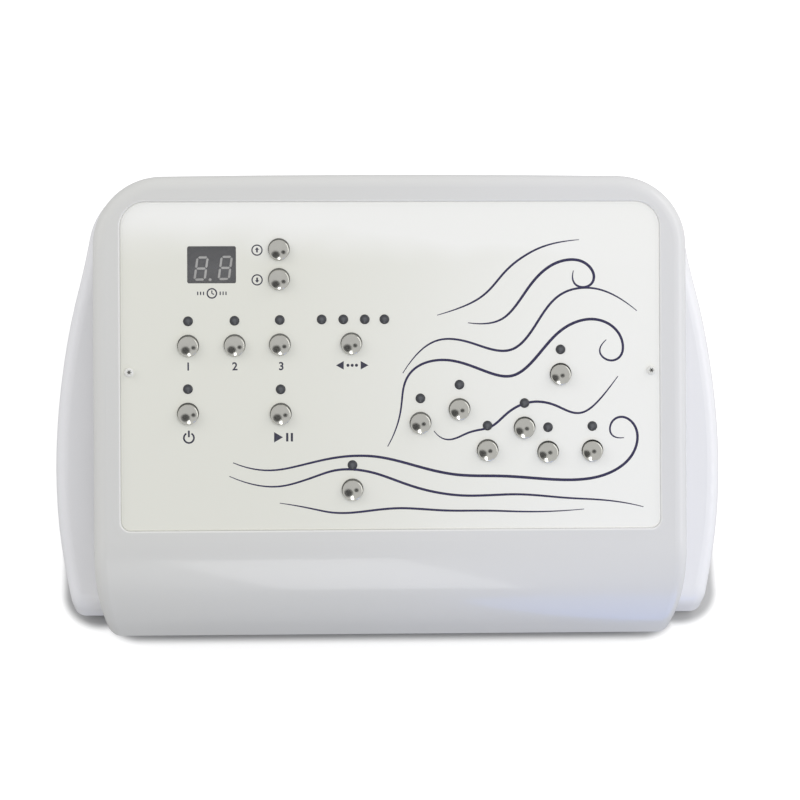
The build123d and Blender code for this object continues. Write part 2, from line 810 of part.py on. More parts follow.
light_base = panel_sink - board_depth
light_flange_top = -(panel_thickness + button_flange_gap)
with BuildPart() as light:
    with BuildSketch(Plane.XZ):
        with BuildLine():
            Polyline((0, light_base), (light_flange_radius, light_base),
                     (light_flange_radius, light_flange_top), (light_radius, light_flange_top),
                     (light_radius, light_rise - light_dome))
            TangentArc((0, light_rise), (light_radius, light_rise - light_dome), tangent=(1, 0))
            Line((0, light_rise), (0, light_base))
        make_face()
    revolve(axis=Axis.Z)
save(placed(light.part, on_face(light_places, panel_sink)), "indicator_lights")

flange_top = -(panel_thickness + button_flange_gap)
flange_low = flange_top - button_flange_thickness
stem_end = -(board_depth - switch_height - panel_sink) - switch_reach
cap_edge = button_rise - button_edge
crown = button_rise + button_dome
dome_radius = button_radius - button_edge
with BuildPart() as button:
    with BuildSketch(Plane.XZ):
        with BuildLine():
            Polyline((0, crown), (0, stem_end), (stem_radius, stem_end), (stem_radius, flange_low),
                     (button_flange_radius, flange_low), (button_flange_radius, flange_top),
                     (button_radius, flange_top), (button_radius, cap_edge))
            TangentArc((button_radius, cap_edge), (dome_radius, button_rise), tangent=(0, 1))
            TangentArc((0, crown), (dome_radius, button_rise), tangent=(1, 0))
        make_face()
    revolve(axis=Axis.Z)
for name, place in button_places.items():
    save(copy_at(button.part, on_face([place], panel_sink)[0]), name)

with BuildPart() as switch_body:
    with BuildSketch():
        Rectangle(switch_size, switch_size)
    extrude(amount=switch_height)
    chamfer(switch_body.edges().filter_by(Axis.Z), 0.6)
    with BuildSketch(Plane.XY.offset(switch_height)):
        Circle(stem_radius + stem_gap)
    extrude(amount=switch_floor - switch_height, mode=Mode.SUBTRACT)
save(placed(switch_body.part, on_face(button_places.values(), board_depth)), "switch_bodies")

with BuildPart() as panel_board:
    with BuildSketch(at_depth(board_back)):
        Rectangle(2 * board_half_width, 2 * board_half_height)
        with Locations(*panel_screw_places):
            Circle(boss_radius + shell_gap, mode=Mode.SUBTRACT)
        with Locations(*board_post_places):
            Circle(small_screw_radius + screw_play, mode=Mode.SUBTRACT)
    extrude(amount=board_thickness)
save(panel_board.part, "panel_board")
board_screw = small_screw(board_screw_length)
main_board_top = main_board_z + board_thickness
panel_board_screws = placed(board_screw, on_face(board_post_places, board_back, flipped=True))
main_board_screws = placed(board_screw, on_ground(main_board_places, main_board_top))
save(Compound(children=[*panel_board_screws.children, *main_board_screws.children]), "board_screws")

# ---------------------------------------------------------------- rear panel
fan_screw_places = corners(fan_screw_offset, fan_screw_offset, (fan_x, fan_z))
inlet_screw_places = [(inlet_x + i * inlet_screw_pitch / 2, fitting_z) for i in (-1, 1)]
socket_pitch = nipples_per_socket * nipple_pitch
socket_centres = [nipple_x + (i - (socket_count - 1) / 2) * socket_pitch for i in range(socket_count)]
socket_screw_places = [
    (x, fitting_z + side * socket_screw_offset) for x in socket_centres for side in (-1, 1)
]
first_nipple_x = nipple_x - (valve_count - 1) / 2 * nipple_pitch
nipple_places = [(first_nipple_x + i * nipple_pitch, fitting_z) for i in range(valve_count)]
fitting_screw_places = inlet_screw_places + socket_screw_places
plate_screw_places = rear_screw_places + fitting_screw_places + fan_screw_places
switch_body_width = rocker_width + 2 * (rocker_gap + rocker_wall)
switch_body_height = rocker_height + 2 * (rocker_gap + rocker_wall)

with BuildPart() as rear_panel:
    with BuildSketch(rear_plane(rear_y)):
        with Locations((0, rear_plate_z)):
            RectangleRounded(rear_plate_width, rear_plate_height, rear_plate_corner)
        with Locations(*[behind(x, z) for x, z in plate_screw_places]):
            Circle(screw_radius + screw_play, mode=Mode.SUBTRACT)
        with Locations(*[behind(x, z) for x, z in nipple_places]):
            Circle(barb_radius + screw_play, mode=Mode.SUBTRACT)
        with Locations(behind(inlet_x, fitting_z)):
            Rectangle(inlet_width + 2 * panel_gap, inlet_height + 2 * panel_gap, mode=Mode.SUBTRACT)
        with Locations(behind(switch_x, fitting_z)):
            Rectangle(switch_body_width + 2 * panel_gap, switch_body_height + 2 * panel_gap,
                      mode=Mode.SUBTRACT)
        with Locations(behind(fan_x, fan_z)):
            Circle(fan_bore, mode=Mode.SUBTRACT)
    extrude(amount=rear_plate_thickness)
save(rear_panel.part, "rear_panel")
save(placed(screw(rear_screw_length), on_rear(rear_screw_places, plate_face)), "rear_panel_screws")
save(placed(screw(fitting_screw_length), on_rear(fitting_screw_places, flange_face)), "fitting_screws")

inlet_pin_places = [(inlet_x - inlet_blade_spread, fitting_z - inlet_blade_rise),
                    (inlet_x, fitting_z + inlet_blade_rise),
                    (inlet_x + inlet_blade_spread, fitting_z - inlet_blade_rise)]
inlet_back = plate_face - inlet_body_depth
with BuildPart() as power_inlet:
    with BuildSketch(rear_plane(plate_face)):
        with Locations(behind(inlet_x, fitting_z)):
            RectangleRounded(inlet_flange_width, inlet_flange_height, fitting_flange)
    extrude(amount=fitting_flange)
    with BuildSketch(rear_plane(plate_face)):
        with Locations(behind(inlet_x, fitting_z)):
            Rectangle(inlet_width, inlet_height)
    extrude(amount=-inlet_body_depth)
    with BuildSketch(rear_plane(flange_face)) as socket_mouth:
        with Locations(behind(inlet_x, fitting_z)):
            Rectangle(inlet_socket_width, inlet_socket_height)
        chamfer(socket_mouth.vertices().group_by(Axis.Z)[-1], inlet_socket_height / 4)
    extrude(amount=-inlet_socket_depth, mode=Mode.SUBTRACT)
    with BuildSketch(rear_plane(inlet_back)):
        with Locations(*[behind(x, z) for x, z in inlet_pin_places]):
            Rectangle(blade_thickness, blade_height)
    extrude(amount=inlet_body_depth, mode=Mode.SUBTRACT)
    with BuildSketch(rear_plane(flange_face)):
        with Locations(*[behind(x, z) for x, z in inlet_screw_places]):
            Circle(screw_radius + screw_play)
    extrude(amount=-fitting_flange, mode=Mode.SUBTRACT)
save(power_inlet.part, "power_inlet")

rocker_pivot_y = plate_face + switch_lip - 1.0
switch_back = plate_face - rocker_body_depth
with BuildPart() as power_switch_frame:
    with BuildSketch(rear_plane(plate_face)):
        with Locations(behind(switch_x, fitting_z)):
            RectangleRounded(switch_body_width + 2 * switch_lip, switch_body_height + 2 * switch_lip,
                             switch_lip / 2)
    extrude(amount=switch_lip)
    with BuildSketch(rear_plane(plate_face)):
        with Locations(behind(switch_x, fitting_z)):
            Rectangle(switch_body_width, switch_body_height)
    extrude(amount=-rocker_body_depth)
    with BuildSketch(rear_plane(plate_face + switch_lip)):
        with Locations(behind(switch_x, fitting_z)):
            Rectangle(rocker_width + 2 * rocker_gap, rocker_height + 2 * rocker_gap)
    extrude(amount=-(rocker_body_depth - rocker_wall), mode=Mode.SUBTRACT)
    with BuildSketch(Plane(origin=(switch_x, rocker_pivot_y, fitting_z), x_dir=(0, 1, 0), z_dir=(1, 0, 0))):
        Circle(rocker_pin_radius + screw_play)
    extrude(amount=switch_body_width / 2 - rocker_wall / 3, both=True, mode=Mode.SUBTRACT)
save(power_switch_frame.part, "power_switch_frame")

rest_turn = Plane(origin=(switch_x, rocker_pivot_y, fitting_z), x_dir=(0, cos(radians(rocker_swing / 2)),
                  -sin(radians(rocker_swing / 2))), z_dir=(1, 0, 0))
with BuildPart() as power_switch_rocker:
    with BuildSketch(rest_turn):
        with BuildLine():
            half = rocker_height / 2
            Polyline((rocker_front, half - rocker_gap), (rocker_middle, 0), (rocker_front, rocker_gap - half),
                     (-rocker_depth, -half / 2), (-rocker_depth, half / 2), (rocker_front, half - rocker_gap))
        make_face()
    extrude(amount=rocker_width / 2, both=True)
    with BuildSketch(rest_turn):
        Circle(rocker_pin_radius)
    extrude(amount=switch_body_width / 2 - rocker_wall / 2, both=True)
save(power_switch_rocker.part, "power_switch_rocker")

switch_tab_places = [(switch_x, fitting_z + side * switch_body_height / 4) for side in (-1, 1)]
with BuildPart() as inlet_pin:
    with BuildSketch():
        Rectangle(blade_thickness, blade_height)
    extrude(amount=inlet_body_depth + fitting_flange - 2 + tab_length)
    chamfer(inlet_pin.faces().sort_by(Axis.Z)[-1].edges(), blade_thickness / 4)
with BuildPart() as switch_tab:
    with BuildSketch():
        Rectangle(tab_width, tab_thickness)
    extrude(amount=-tab_length)
inlet_pins = placed(inlet_pin.part, on_rear(inlet_pin_places, inlet_back - tab_length))
switch_tabs = placed(switch_tab.part, on_rear(switch_tab_places, switch_back))
save(Compound(children=[*inlet_pins.children, *switch_tabs.children]), "power_terminals")

with BuildPart() as air_socket:
    with BuildSketch():
        RectangleRounded(socket_pitch - 1, socket_height, fitting_flange)
    extrude(amount=fitting_flange)
    with BuildSketch():
        with GridLocations(nipple_pitch, 0, nipples_per_socket, 1):
            Circle(nipple_radius)
    extrude(amount=nipple_reach - rear_plate_thickness)
    chamfer(air_socket.faces().group_by(Axis.Z)[-1].edges(), 0.6)
    with BuildSketch():
        with GridLocations(nipple_pitch, 0, nipples_per_socket, 1):
            Circle(barb_radius)
    extrude(amount=-(rear_plate_thickness + barb_length))
    with BuildSketch(Plane.XY.offset(nipple_reach)):
        with GridLocations(nipple_pitch, 0, nipples_per_socket, 1):
            Circle(nipple_bore)
    extrude(amount=-(nipple_reach + rear_plate_thickness + barb_length), mode=Mode.SUBTRACT)
    with BuildSketch():
        with GridLocations(0, 2 * socket_screw_offset, 1, 2):
            Circle(screw_radius + screw_play)
    extrude(amount=fitting_flange, mode=Mode.SUBTRACT)
save(placed(air_socket.part, on_rear([(x, fitting_z) for x in socket_centres], plate_face)), "air_sockets")

# ---------------------------------------------------------------- fan
fan_back = rear_y - fan_depth
fan_plane = on_rear([(fan_x, fan_z)], fan_back)[0]
fan_base = 3.0
with BuildPart() as fan_frame:
    with BuildSketch():
        RectangleRounded(fan_size, fan_size, 3.0)
        Circle(fan_bore, mode=Mode.SUBTRACT)
        with GridLocations(2 * fan_screw_offset, 2 * fan_screw_offset, 2, 2):
            Circle(screw_radius + screw_play, mode=Mode.SUBTRACT)
    extrude(amount=fan_depth)
    with BuildSketch():
        Circle(fan_hub)
        for angle in (90, 210, 330):
            with Locations(Location((0, 0, 0), (0, 0, angle))):
                with Locations((fan_bore / 2, 0)):
                    Rectangle(fan_bore + 1, fan_base)
    extrude(amount=fan_base)
    with BuildSketch():
        Circle(fan_shaft_radius + screw_play)
    extrude(amount=fan_base, mode=Mode.SUBTRACT)
save(copy_at(fan_frame.part, fan_plane), "fan_frame")

hub_low = fan_base + fan_blade_gap
with BuildPart() as fan_rotor:
    with BuildSketch(Plane.XY.offset(hub_low)):
        Circle(fan_hub)
    extrude(amount=fan_depth - hub_low - fan_blade_gap)
    chamfer(fan_rotor.edges().sort_by(Axis.Z)[-1], 1.0)
    with BuildSketch():
        Circle(fan_shaft_radius)
    extrude(amount=hub_low)
    for i in range(fan_blade_count):
        blade_plane = Plane.YZ.offset(fan_hub - 1).rotated((0, 0, i * 360 / fan_blade_count))
        with BuildSketch(blade_plane):
            with Locations((0, (hub_low + fan_depth - fan_blade_gap) / 2)):
                Rectangle(fan_blade_chord, fan_blade_thickness, rotation=fan_blade_pitch)
        extrude(amount=fan_bore - fan_blade_gap - fan_hub + 1)
save(copy_at(fan_rotor.part, fan_plane), "fan_rotor")

with BuildPart() as fan_guard:
    with BuildSketch():
        for ring in range(1, guard_rings + 1):
            radius = ring * fan_bore / guard_rings
            with BuildSketch(mode=Mode.PRIVATE) as hoop:
                Circle(radius)
                Circle(radius - 2 * fan_wire, mode=Mode.SUBTRACT)
            add(hoop.sketch)
        for angle in (45, 135):
            Rectangle(2 * fan_screw_offset * 2 ** 0.5, 2 * fan_wire, rotation=angle)
        with GridLocations(2 * fan_screw_offset, 2 * fan_screw_offset, 2, 2):
            Circle(screw_head_radius)
            Circle(screw_radius + screw_play, mode=Mode.SUBTRACT)
    extrude(amount=fan_wire)
save(copy_at(fan_guard.part, on_rear([(fan_x, fan_z)], plate_face)[0]), "fan_guard")
save(placed(screw(fan_screw_length), on_rear(fan_screw_places, plate_face + fan_wire)), "fan_screws")

# ---------------------------------------------------------------- air pump
pump_low = floor_top + pump_mount_height
pump_mid = pump_low + pump_height / 2
pump_end = pump_length / 2
pump_centre = Plane((pump_x, pump_y, pump_mid))
cavity_half = pump_width / 2 - pump_wall
lid_screw_places = corners(pump_end - pump_wall / 2, pump_width / 2 - pump_wall / 2)
head_screw_pitch = pump_head_size - 2 * head_screw_inset
chamber_depth = piston_thickness + 2 * (pump_stroke + piston_gap)

with BuildPart() as pump_housing:
    with BuildSketch(Plane.XY.offset(-pump_height / 2)):
        RectangleRounded(pump_length, pump_width, pump_wall)
    extrude(amount=pump_height)
    with BuildSketch(Plane.XY.offset(pump_height / 2)):
        Rectangle(pump_length - 2 * pump_wall, pump_width - 2 * pump_wall)
    extrude(amount=pump_wall - pump_height, mode=Mode.SUBTRACT)
    with BuildSketch(Plane.YZ):
        Circle(rod_radius + screw_play)
    extrude(amount=pump_end, both=True, mode=Mode.SUBTRACT)
    with BuildSketch(Plane.YZ.offset(-pump_end)):
        with GridLocations(head_screw_pitch, head_screw_pitch, 2, 2):
            Circle(small_screw_radius + screw_play)
    extrude(amount=pump_length, mode=Mode.SUBTRACT)
    with BuildSketch(Plane.XY.offset(pump_height / 2)):
        with Locations(*lid_screw_places):
            Circle(small_screw_radius + screw_play)
    extrude(amount=-lid_bore_depth, mode=Mode.SUBTRACT)
    with BuildSketch(Plane.XY.offset(-pump_height / 2)):
        with Locations(*[(x - pump_x, y - pump_y) for x, y in pump_mount_places]):
            Circle(pump_pin_radius)
    extrude(amount=-pump_pin_length)
save(copy_at(pump_housing.part, pump_centre), "pump_housing")

with BuildPart() as pump_lid:
    with BuildSketch(Plane.XY.offset(pump_height / 2)):
        RectangleRounded(pump_length, pump_width, pump_wall)
        with Locations(*lid_screw_places):
            Circle(small_screw_radius + screw_play, mode=Mode.SUBTRACT)
    extrude(amount=pump_lid_thickness)
    with BuildSketch(Plane.XY.offset(pump_height / 2 + pump_lid_thickness)):
        with GridLocations(lid_rib_pitch, 0, lid_rib_count, 1):
            Rectangle(lid_rib_width, pump_width - 4 * pump_wall)
    extrude(amount=lid_rib_width / 2)
save(copy_at(pump_lid.part, pump_centre), "pump_lid")

mount_bore = pump_pin_radius + screw_play
mount_edge_low = (pump_mount_radius, 0)
mount_edge_high = (pump_mount_radius, pump_mount_height)
mount_waist = (pump_mount_radius * 0.76, pump_mount_height / 2)
with BuildPart() as pump_mount:
    with BuildSketch(Plane.XZ):
        with BuildLine():
            Polyline(mount_edge_low, (mount_bore, 0), (mount_bore, pump_mount_height), mount_edge_high)
            ThreePointArc(mount_edge_high, mount_waist, mount_edge_low)
        make_face()
    revolve(axis=Axis.Z)
save(placed(pump_mount.part, on_ground(pump_mount_places, floor_top)), "pump_mounts")

supply_place = fitting_z - pump_mid
with BuildPart() as pump_head:
    with BuildSketch(Plane.YZ.offset(pump_end)):
        RectangleRounded(pump_head_size, pump_head_size, 2 * head_screw_inset)
    extrude(amount=pump_head_length)
    with BuildSketch(Plane.YZ.offset(pump_end)):
        Circle(piston_radius + piston_gap)
    extrude(amount=chamber_depth, mode=Mode.SUBTRACT)
    with BuildSketch(Plane.YZ.offset(pump_end)):
        with GridLocations(head_screw_pitch, head_screw_pitch, 2, 2):
            Circle(small_screw_radius + screw_play)
    extrude(amount=pump_head_length, mode=Mode.SUBTRACT)
    with BuildSketch(Plane.XZ.offset(-pump_head_size / 2)):
        with Locations((pump_end + pump_head_length / 2, supply_place)):
            Circle(supply_barb_radius)
    extrude(amount=-barb_length)
    with BuildSketch(Plane.XZ.offset(-pump_head_size / 2 - barb_length)):
        with Locations((pump_end + pump_head_length / 2, supply_place)):
            Circle(nipple_bore)
    extrude(amount=2 * barb_length, mode=Mode.SUBTRACT)
pump_head_right = copy_at(pump_head.part, pump_centre)
pump_head_left = copy_at(mirror(pump_head.part, about=Plane.YZ), pump_centre)
save(Compound(children=[pump_head_left, pump_head_right]), "pump_heads")

piston_middle = pump_end + chamber_depth / 2
with BuildPart() as pump_armature:
    with BuildSketch(Plane.YZ):
        Circle(rod_radius)
    extrude(amount=piston_middle, both=True)
    with BuildSketch(Plane.XY):
        Rectangle(magnet_length, magnet_size)
    extrude(amount=magnet_size / 2, both=True)
    chamfer(pump_armature.edges().filter_by(Axis.X), 1.0)
    for side in (-1, 1):
        with BuildSketch(Plane.YZ.offset(side * piston_middle - piston_thickness / 2)):
            Circle(piston_radius)
        extrude(amount=piston_thickness)
save(copy_at(pump_armature.part, pump_centre), "pump_armature")

coil_reach = cavity_half - magnet_size / 2 - coil_gap
coil_floor = pump_wall - pump_height / 2
with BuildPart() as pump_coil:
    with BuildSketch(Plane.XY.offset(coil_floor)):
        with Locations((0, cavity_half - coil_reach / 2)):
            Rectangle(coil_length, coil_reach)
        with Locations(*[(side * coil_length / 4, cavity_half - coil_reach) for side in (-1, 1)]):
            Rectangle(coil_length / 5, coil_reach, mode=Mode.SUBTRACT)
    extrude(amount=pump_height - 2 * pump_wall)
    with BuildSketch(Plane.XY.offset(coil_floor + pump_wall)):
        with Locations(*[(side * coil_length / 4, cavity_half - coil_reach * 0.7) for side in (-1, 1)]):
            Rectangle(coil_length / 5, coil_reach * 0.4)
    extrude(amount=pump_height - 4 * pump_wall)
pump_coil_rear = copy_at(pump_coil.part, pump_centre)
pump_coil_front = copy_at(mirror(pump_coil.part, about=Plane.XZ), pump_centre)
save(Compound(children=[pump_coil_front, pump_coil_rear]), "pump_coils")

pump_top = pump_mid + pump_height / 2 + pump_lid_thickness
lid_screws = placed(small_screw(lid_screw_length),
                    on_ground([(pump_x + x, pump_y + y) for x, y in lid_screw_places], pump_top))
head_screw_offset = pump_head_size / 2 - head_screw_inset
head_screw_planes = [
    Plane(origin=(pump_x + side * (pump_end + pump_head_length), pump_y + j * head_screw_offset,
                  pump_mid + k * head_screw_offset), x_dir=(0, 1, 0), z_dir=(side, 0, 0))
    for side in (-1, 1) for j in (-1, 1) for k in (-1, 1)
]
head_screws = placed(small_screw(pump_head_length + pump_wall - 1), head_screw_planes)
save(Compound(children=[*lid_screws.children, *head_screws.children]), "pump_screws")

# ---------------------------------------------------------------- valves and tubes
manifold_top = fitting_z + manifold_height / 2
supply_x = pump_x + pump_end + pump_head_length / 2
with BuildPart() as valve_manifold:
    with BuildSketch(Plane.XY.offset(manifold_low)):
        with Locations((nipple_x, manifold_y)):
            Rectangle(manifold_length, manifold_width)
    extrude(amount=manifold_height)
    with BuildSketch(Plane.XY.offset(manifold_low)):
        with Locations((nipple_x, manifold_y)):
            RectangleRounded(manifold_length + 2 * manifold_ear, manifold_width, fitting_flange)
        with Locations(*manifold_post_places):
            Circle(screw_radius + screw_play, mode=Mode.SUBTRACT)
    extrude(amount=manifold_ear_height)
    with BuildSketch(rear_plane(manifold_rear)):
        with Locations(*[behind(x, z) for x, z in nipple_places]):
            Circle(barb_radius)
    extrude(amount=barb_length)
    with BuildSketch(rear_plane(manifold_front)):
        with Locations(behind(supply_x, fitting_z)):
            Circle(supply_barb_radius)
    extrude(amount=-barb_length)
    with BuildSketch(rear_plane(manifold_rear + barb_length)):
        with Locations(*[behind(x, z) for x, z in nipple_places]):
            Circle(nipple_bore)
    extrude(amount=-2 * barb_length, mode=Mode.SUBTRACT)
    with BuildSketch(rear_plane(manifold_front - barb_length)):
        with Locations(behind(supply_x, fitting_z)):
            Circle(nipple_bore)
    extrude(amount=2 * barb_length, mode=Mode.SUBTRACT)
save(valve_manifold.part, "valve_manifold")

with BuildPart() as valve:
    with BuildSketch():
        Rectangle(valve_width, valve_depth)
    extrude(amount=valve_plate)
    with BuildSketch():
        Circle(valve_width / 2 - valve_coil_inset)
    extrude(amount=valve_height)
    with BuildSketch(Plane.XY.offset(valve_height)):
        Rectangle(valve_width, valve_depth)
    extrude(amount=-valve_plate)
    with BuildSketch():
        with Locations((0, valve_depth / 2 - valve_plate / 2)):
            Rectangle(valve_width, valve_plate)
    extrude(amount=valve_height)
    with BuildSketch(Plane.XY.offset(valve_height)):
        Circle(valve_stem_radius)
    extrude(amount=valve_stem_height)
valve_places = [(x, manifold_y) for x, z in nipple_places]
save(placed(valve.part, on_ground(valve_places, manifold_top)), "solenoid_valves")

ear_top = manifold_low + manifold_ear_height
manifold_screws = placed(screw(bracket_screw_length), on_ground(manifold_post_places, ear_top))
bracket_screws = placed(screw(transformer_post_height + bracket_thickness - 1),
                        on_ground(bracket_places, core_bottom + bracket_thickness))
save(Compound(children=[*manifold_screws.children, *bracket_screws.children]), "bracket_screws")

tube_end_gap = 0.5
outlet_tube_length = rear_y - manifold_rear - 2 * tube_end_gap
supply_tube_length = manifold_front - (pump_y + pump_head_size / 2) - 2 * tube_end_gap


def tube(length, inner):
    """A straight piece of hose along z from z = 0."""
    with BuildPart() as hose:
        with BuildSketch():
            Circle(inner + tube_wall)
            Circle(inner, mode=Mode.SUBTRACT)
        extrude(amount=length)
    return hose.part


outlet_tubes = placed(tube(outlet_tube_length, barb_radius + tube_play),
                      on_rear(nipple_places, manifold_rear + tube_end_gap))
supply_start = pump_y + pump_head_size / 2 + tube_end_gap
supply_tube = placed(tube(supply_tube_length, supply_barb_radius + tube_play),
                     on_rear([(supply_x, fitting_z)], supply_start))
save(Compound(children=[*supply_tube.children, *outlet_tubes.children]), "air_tubes")

# ---------------------------------------------------------------- electrics
with BuildPart() as main_board:
    with BuildSketch(Plane.XY.offset(main_board_z)):
        with Locations((main_board_x, main_board_y)):
            Rectangle(main_board_width, main_board_length)
        with Locations(*main_board_places):
            Circle(small_screw_radius + screw_play, mode=Mode.SUBTRACT)
    extrude(amount=board_thickness)
save(main_board.part, "main_board")

main_board_plane = Plane((main_board_x, main_board_y, main_board_top))
with BuildPart() as capacitor:
    with BuildSketch():
        Circle(capacitor_radius)
    extrude(amount=capacitor_height)
    chamfer(capacitor.edges().sort_by(Axis.Z)[-1], 0.6)
with BuildPart() as relay:
    with BuildSketch():
        Rectangle(relay_size[0], relay_size[1])
    extrude(amount=relay_size[2])
    chamfer(relay.faces().sort_by(Axis.Z)[-1].edges(), 0.6)
with BuildPart() as heat_sink:
    with BuildSketch():
        Rectangle(sink_size[0], sink_size[1])
        with Locations((0, (sink_size[1] + sink_fin_depth) / 2)):
            with GridLocations(sink_size[0] / sink_fins, 0, sink_fins, 1):
                Rectangle(sink_size[0] / sink_fins / 3, sink_fin_depth)
    extrude(amount=sink_size[2])
with BuildPart() as chip:
    with BuildSketch():
        Rectangle(chip_size, chip_size)
    extrude(amount=chip_thickness)


def on_board(places):
    """Planes at places on the main board's upper side, measured from the board's middle."""
    return [Plane(main_board_plane.from_local_coords((x, y, 0))) for x, y in places]


board_end = main_board_width / 2
board_rear = main_board_length / 2
rear_row = board_rear - rear_row_inset
chip_row = chip_row_inset - board_rear
board_parts = [
    *placed(capacitor.part, on_board([(board_end - inset, rear_row) for inset in capacitor_insets])).children,
    *placed(relay.part, on_board([(inset - board_end, rear_row) for inset in relay_insets])).children,
    *placed(heat_sink.part, on_board([(board_end - sink_inset, board_rear - sink_row_inset)])).children,
    *placed(chip.part, on_board([(inset - board_end, chip_row) for inset in chip_insets])).children,
]
save(Compound(children=board_parts), "board_parts")

core_plane = Plane(origin=(transformer_x, transformer_y, core_bottom), x_dir=(1, 0, 0), z_dir=(0, -1, 0))
window_width = (core_width - core_leg - 2 * core_yoke) / 2
window_height = core_height - 2 * core_yoke
with BuildPart() as transformer_core:
    with BuildSketch(core_plane):
        with Locations((0, core_height / 2)):
            Rectangle(core_width, core_height)
            with GridLocations(core_leg + window_width, 0, 2, 1):
                Rectangle(window_width, window_height, mode=Mode.SUBTRACT)
    extrude(amount=core_depth / 2, both=True)
save(transformer_core.part, "transformer_core")

with BuildPart() as transformer_coil:
    with BuildSketch(Plane((transformer_x, transformer_y, core_bottom + core_height / 2))):
        RectangleRounded(core_leg + 2 * (window_width - coil_margin), core_depth + 2 * coil_bulge,
                         coil_corner)
        Rectangle(core_leg + 2 * coil_margin, core_depth + 2 * coil_margin, mode=Mode.SUBTRACT)
    extrude(amount=window_height / 2 - coil_margin, both=True)
save(transformer_coil.part, "transformer_coil")

strap_half = core_width / 2 + bracket_thickness
strap_top = core_height + bracket_thickness
with BuildPart() as transformer_bracket:
    with BuildSketch(core_plane):
        with Locations((0, strap_top / 2)):
            Rectangle(2 * strap_half, strap_top)
        with Locations((0, bracket_thickness / 2)):
            Rectangle(2 * (strap_half + bracket_foot), bracket_thickness)
        with Locations((0, core_height / 2)):
            Rectangle(core_width, core_height, mode=Mode.SUBTRACT)
    extrude(amount=bracket_width / 2, both=True)
    with BuildSketch(Plane.XY.offset(core_bottom + bracket_thickness)):
        with Locations(*bracket_places):
            Circle(screw_radius + screw_play)
    extrude(amount=-bracket_thickness, mode=Mode.SUBTRACT)
save(transformer_bracket.part, "transformer_bracket")

upper_mouth = at_depth(board_back + plug_size[2]).from_local_coords((ribbon_x, ribbon_v, 0))
lower_mouth = Vector(ribbon_x, main_board_y, main_board_top + plug_size[2])
with BuildPart() as ribbon_cable:
    with BuildSketch(Plane.YZ.offset(ribbon_x)):
        with BuildLine():
            Spline((upper_mouth.Y, upper_mouth.Z), (lower_mouth.Y, lower_mouth.Z),
                   tangents=[(sin_t, -cos_t), (0, -1)])
        trace(line_width=ribbon_thickness)
    extrude(amount=ribbon_width / 2, both=True)
    with BuildSketch(at_depth(board_back)):
        with Locations((ribbon_x, ribbon_v)):
            Rectangle(plug_size[0], plug_size[1])
    extrude(amount=-plug_size[2] - ribbon_thickness)
    with BuildSketch(Plane.XY.offset(main_board_top)):
        with Locations((ribbon_x, main_board_y)):
            Rectangle(plug_size[0], plug_size[1])
    extrude(amount=plug_size[2] + ribbon_thickness)
save(ribbon_cable.part, "ribbon_cable")


def lead(*points):
    """A round insulated wire along straight runs with rounded corners."""
    with BuildPart() as wire:
        with BuildLine() as route:
            FilletPolyline(*points, radius=lead_bend)
        with BuildSketch(Plane(origin=route.line @ 0, z_dir=route.line % 0)):
            Circle(lead_radius)
        sweep()
    return wire.part


inlet_tip = inlet_back - tab_length
switch_tip = switch_back - tab_length
coil_back = transformer_y + core_depth / 2 + coil_bulge
coil_middle = core_bottom + core_height / 2
lead_turn = inlet_tip - 2 * lead_bend
live_x, live_z = inlet_pin_places[0]
neutral_x, neutral_z = inlet_pin_places[2]
coil_x = transformer_x + core_leg
tab_x, tab_z = switch_tab_places[1]
live_lead = lead((live_x, inlet_tip, live_z), (live_x, lead_turn, live_z),
                 (tab_x, lead_turn, tab_z), (tab_x, switch_tip, tab_z))
neutral_lead = lead((neutral_x, inlet_tip, neutral_z), (neutral_x, coil_back + lead_bend * 1.2, neutral_z),
                    (coil_x, coil_back + lead_bend * 1.2, coil_middle), (coil_x, coil_back, coil_middle))
save(Compound(children=[live_lead, neutral_lead]), "mains_leads")
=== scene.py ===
"""Looks of a compression therapy pump: a wedge-shaped desktop console for a garment's air chambers.

Lengths are metres in the row frame: +Z up, +X to the operator's right, the operator at -Y. The
sloping face has its own places: u across, v up the slope and w out of it, from the panel's middle.
"""

import json
import logging
import math
from dataclasses import dataclass, field
from enum import Enum
from typing import Any, Callable

import bmesh
import bpy
from mathutils import Matrix, Vector


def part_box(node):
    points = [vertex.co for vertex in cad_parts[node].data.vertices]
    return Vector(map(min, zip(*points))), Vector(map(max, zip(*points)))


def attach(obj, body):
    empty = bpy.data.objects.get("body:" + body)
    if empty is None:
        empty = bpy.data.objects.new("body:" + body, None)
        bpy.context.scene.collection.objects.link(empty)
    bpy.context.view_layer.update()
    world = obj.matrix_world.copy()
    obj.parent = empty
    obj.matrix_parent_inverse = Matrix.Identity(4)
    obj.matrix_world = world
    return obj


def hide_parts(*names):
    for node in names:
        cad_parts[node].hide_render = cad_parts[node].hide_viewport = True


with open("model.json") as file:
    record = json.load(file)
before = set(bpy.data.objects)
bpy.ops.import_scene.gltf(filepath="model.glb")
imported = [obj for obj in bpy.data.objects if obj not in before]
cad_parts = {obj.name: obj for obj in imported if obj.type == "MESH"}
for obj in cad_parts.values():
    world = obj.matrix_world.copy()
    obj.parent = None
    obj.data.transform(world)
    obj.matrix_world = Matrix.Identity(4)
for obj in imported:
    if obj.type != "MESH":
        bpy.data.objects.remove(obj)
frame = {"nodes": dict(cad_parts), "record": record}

log = logging.getLogger("console")

Triple = tuple[float, float, float]
Pair = tuple[float, float]
Place = Pair
Colour = Triple
Piece = bpy.types.Object

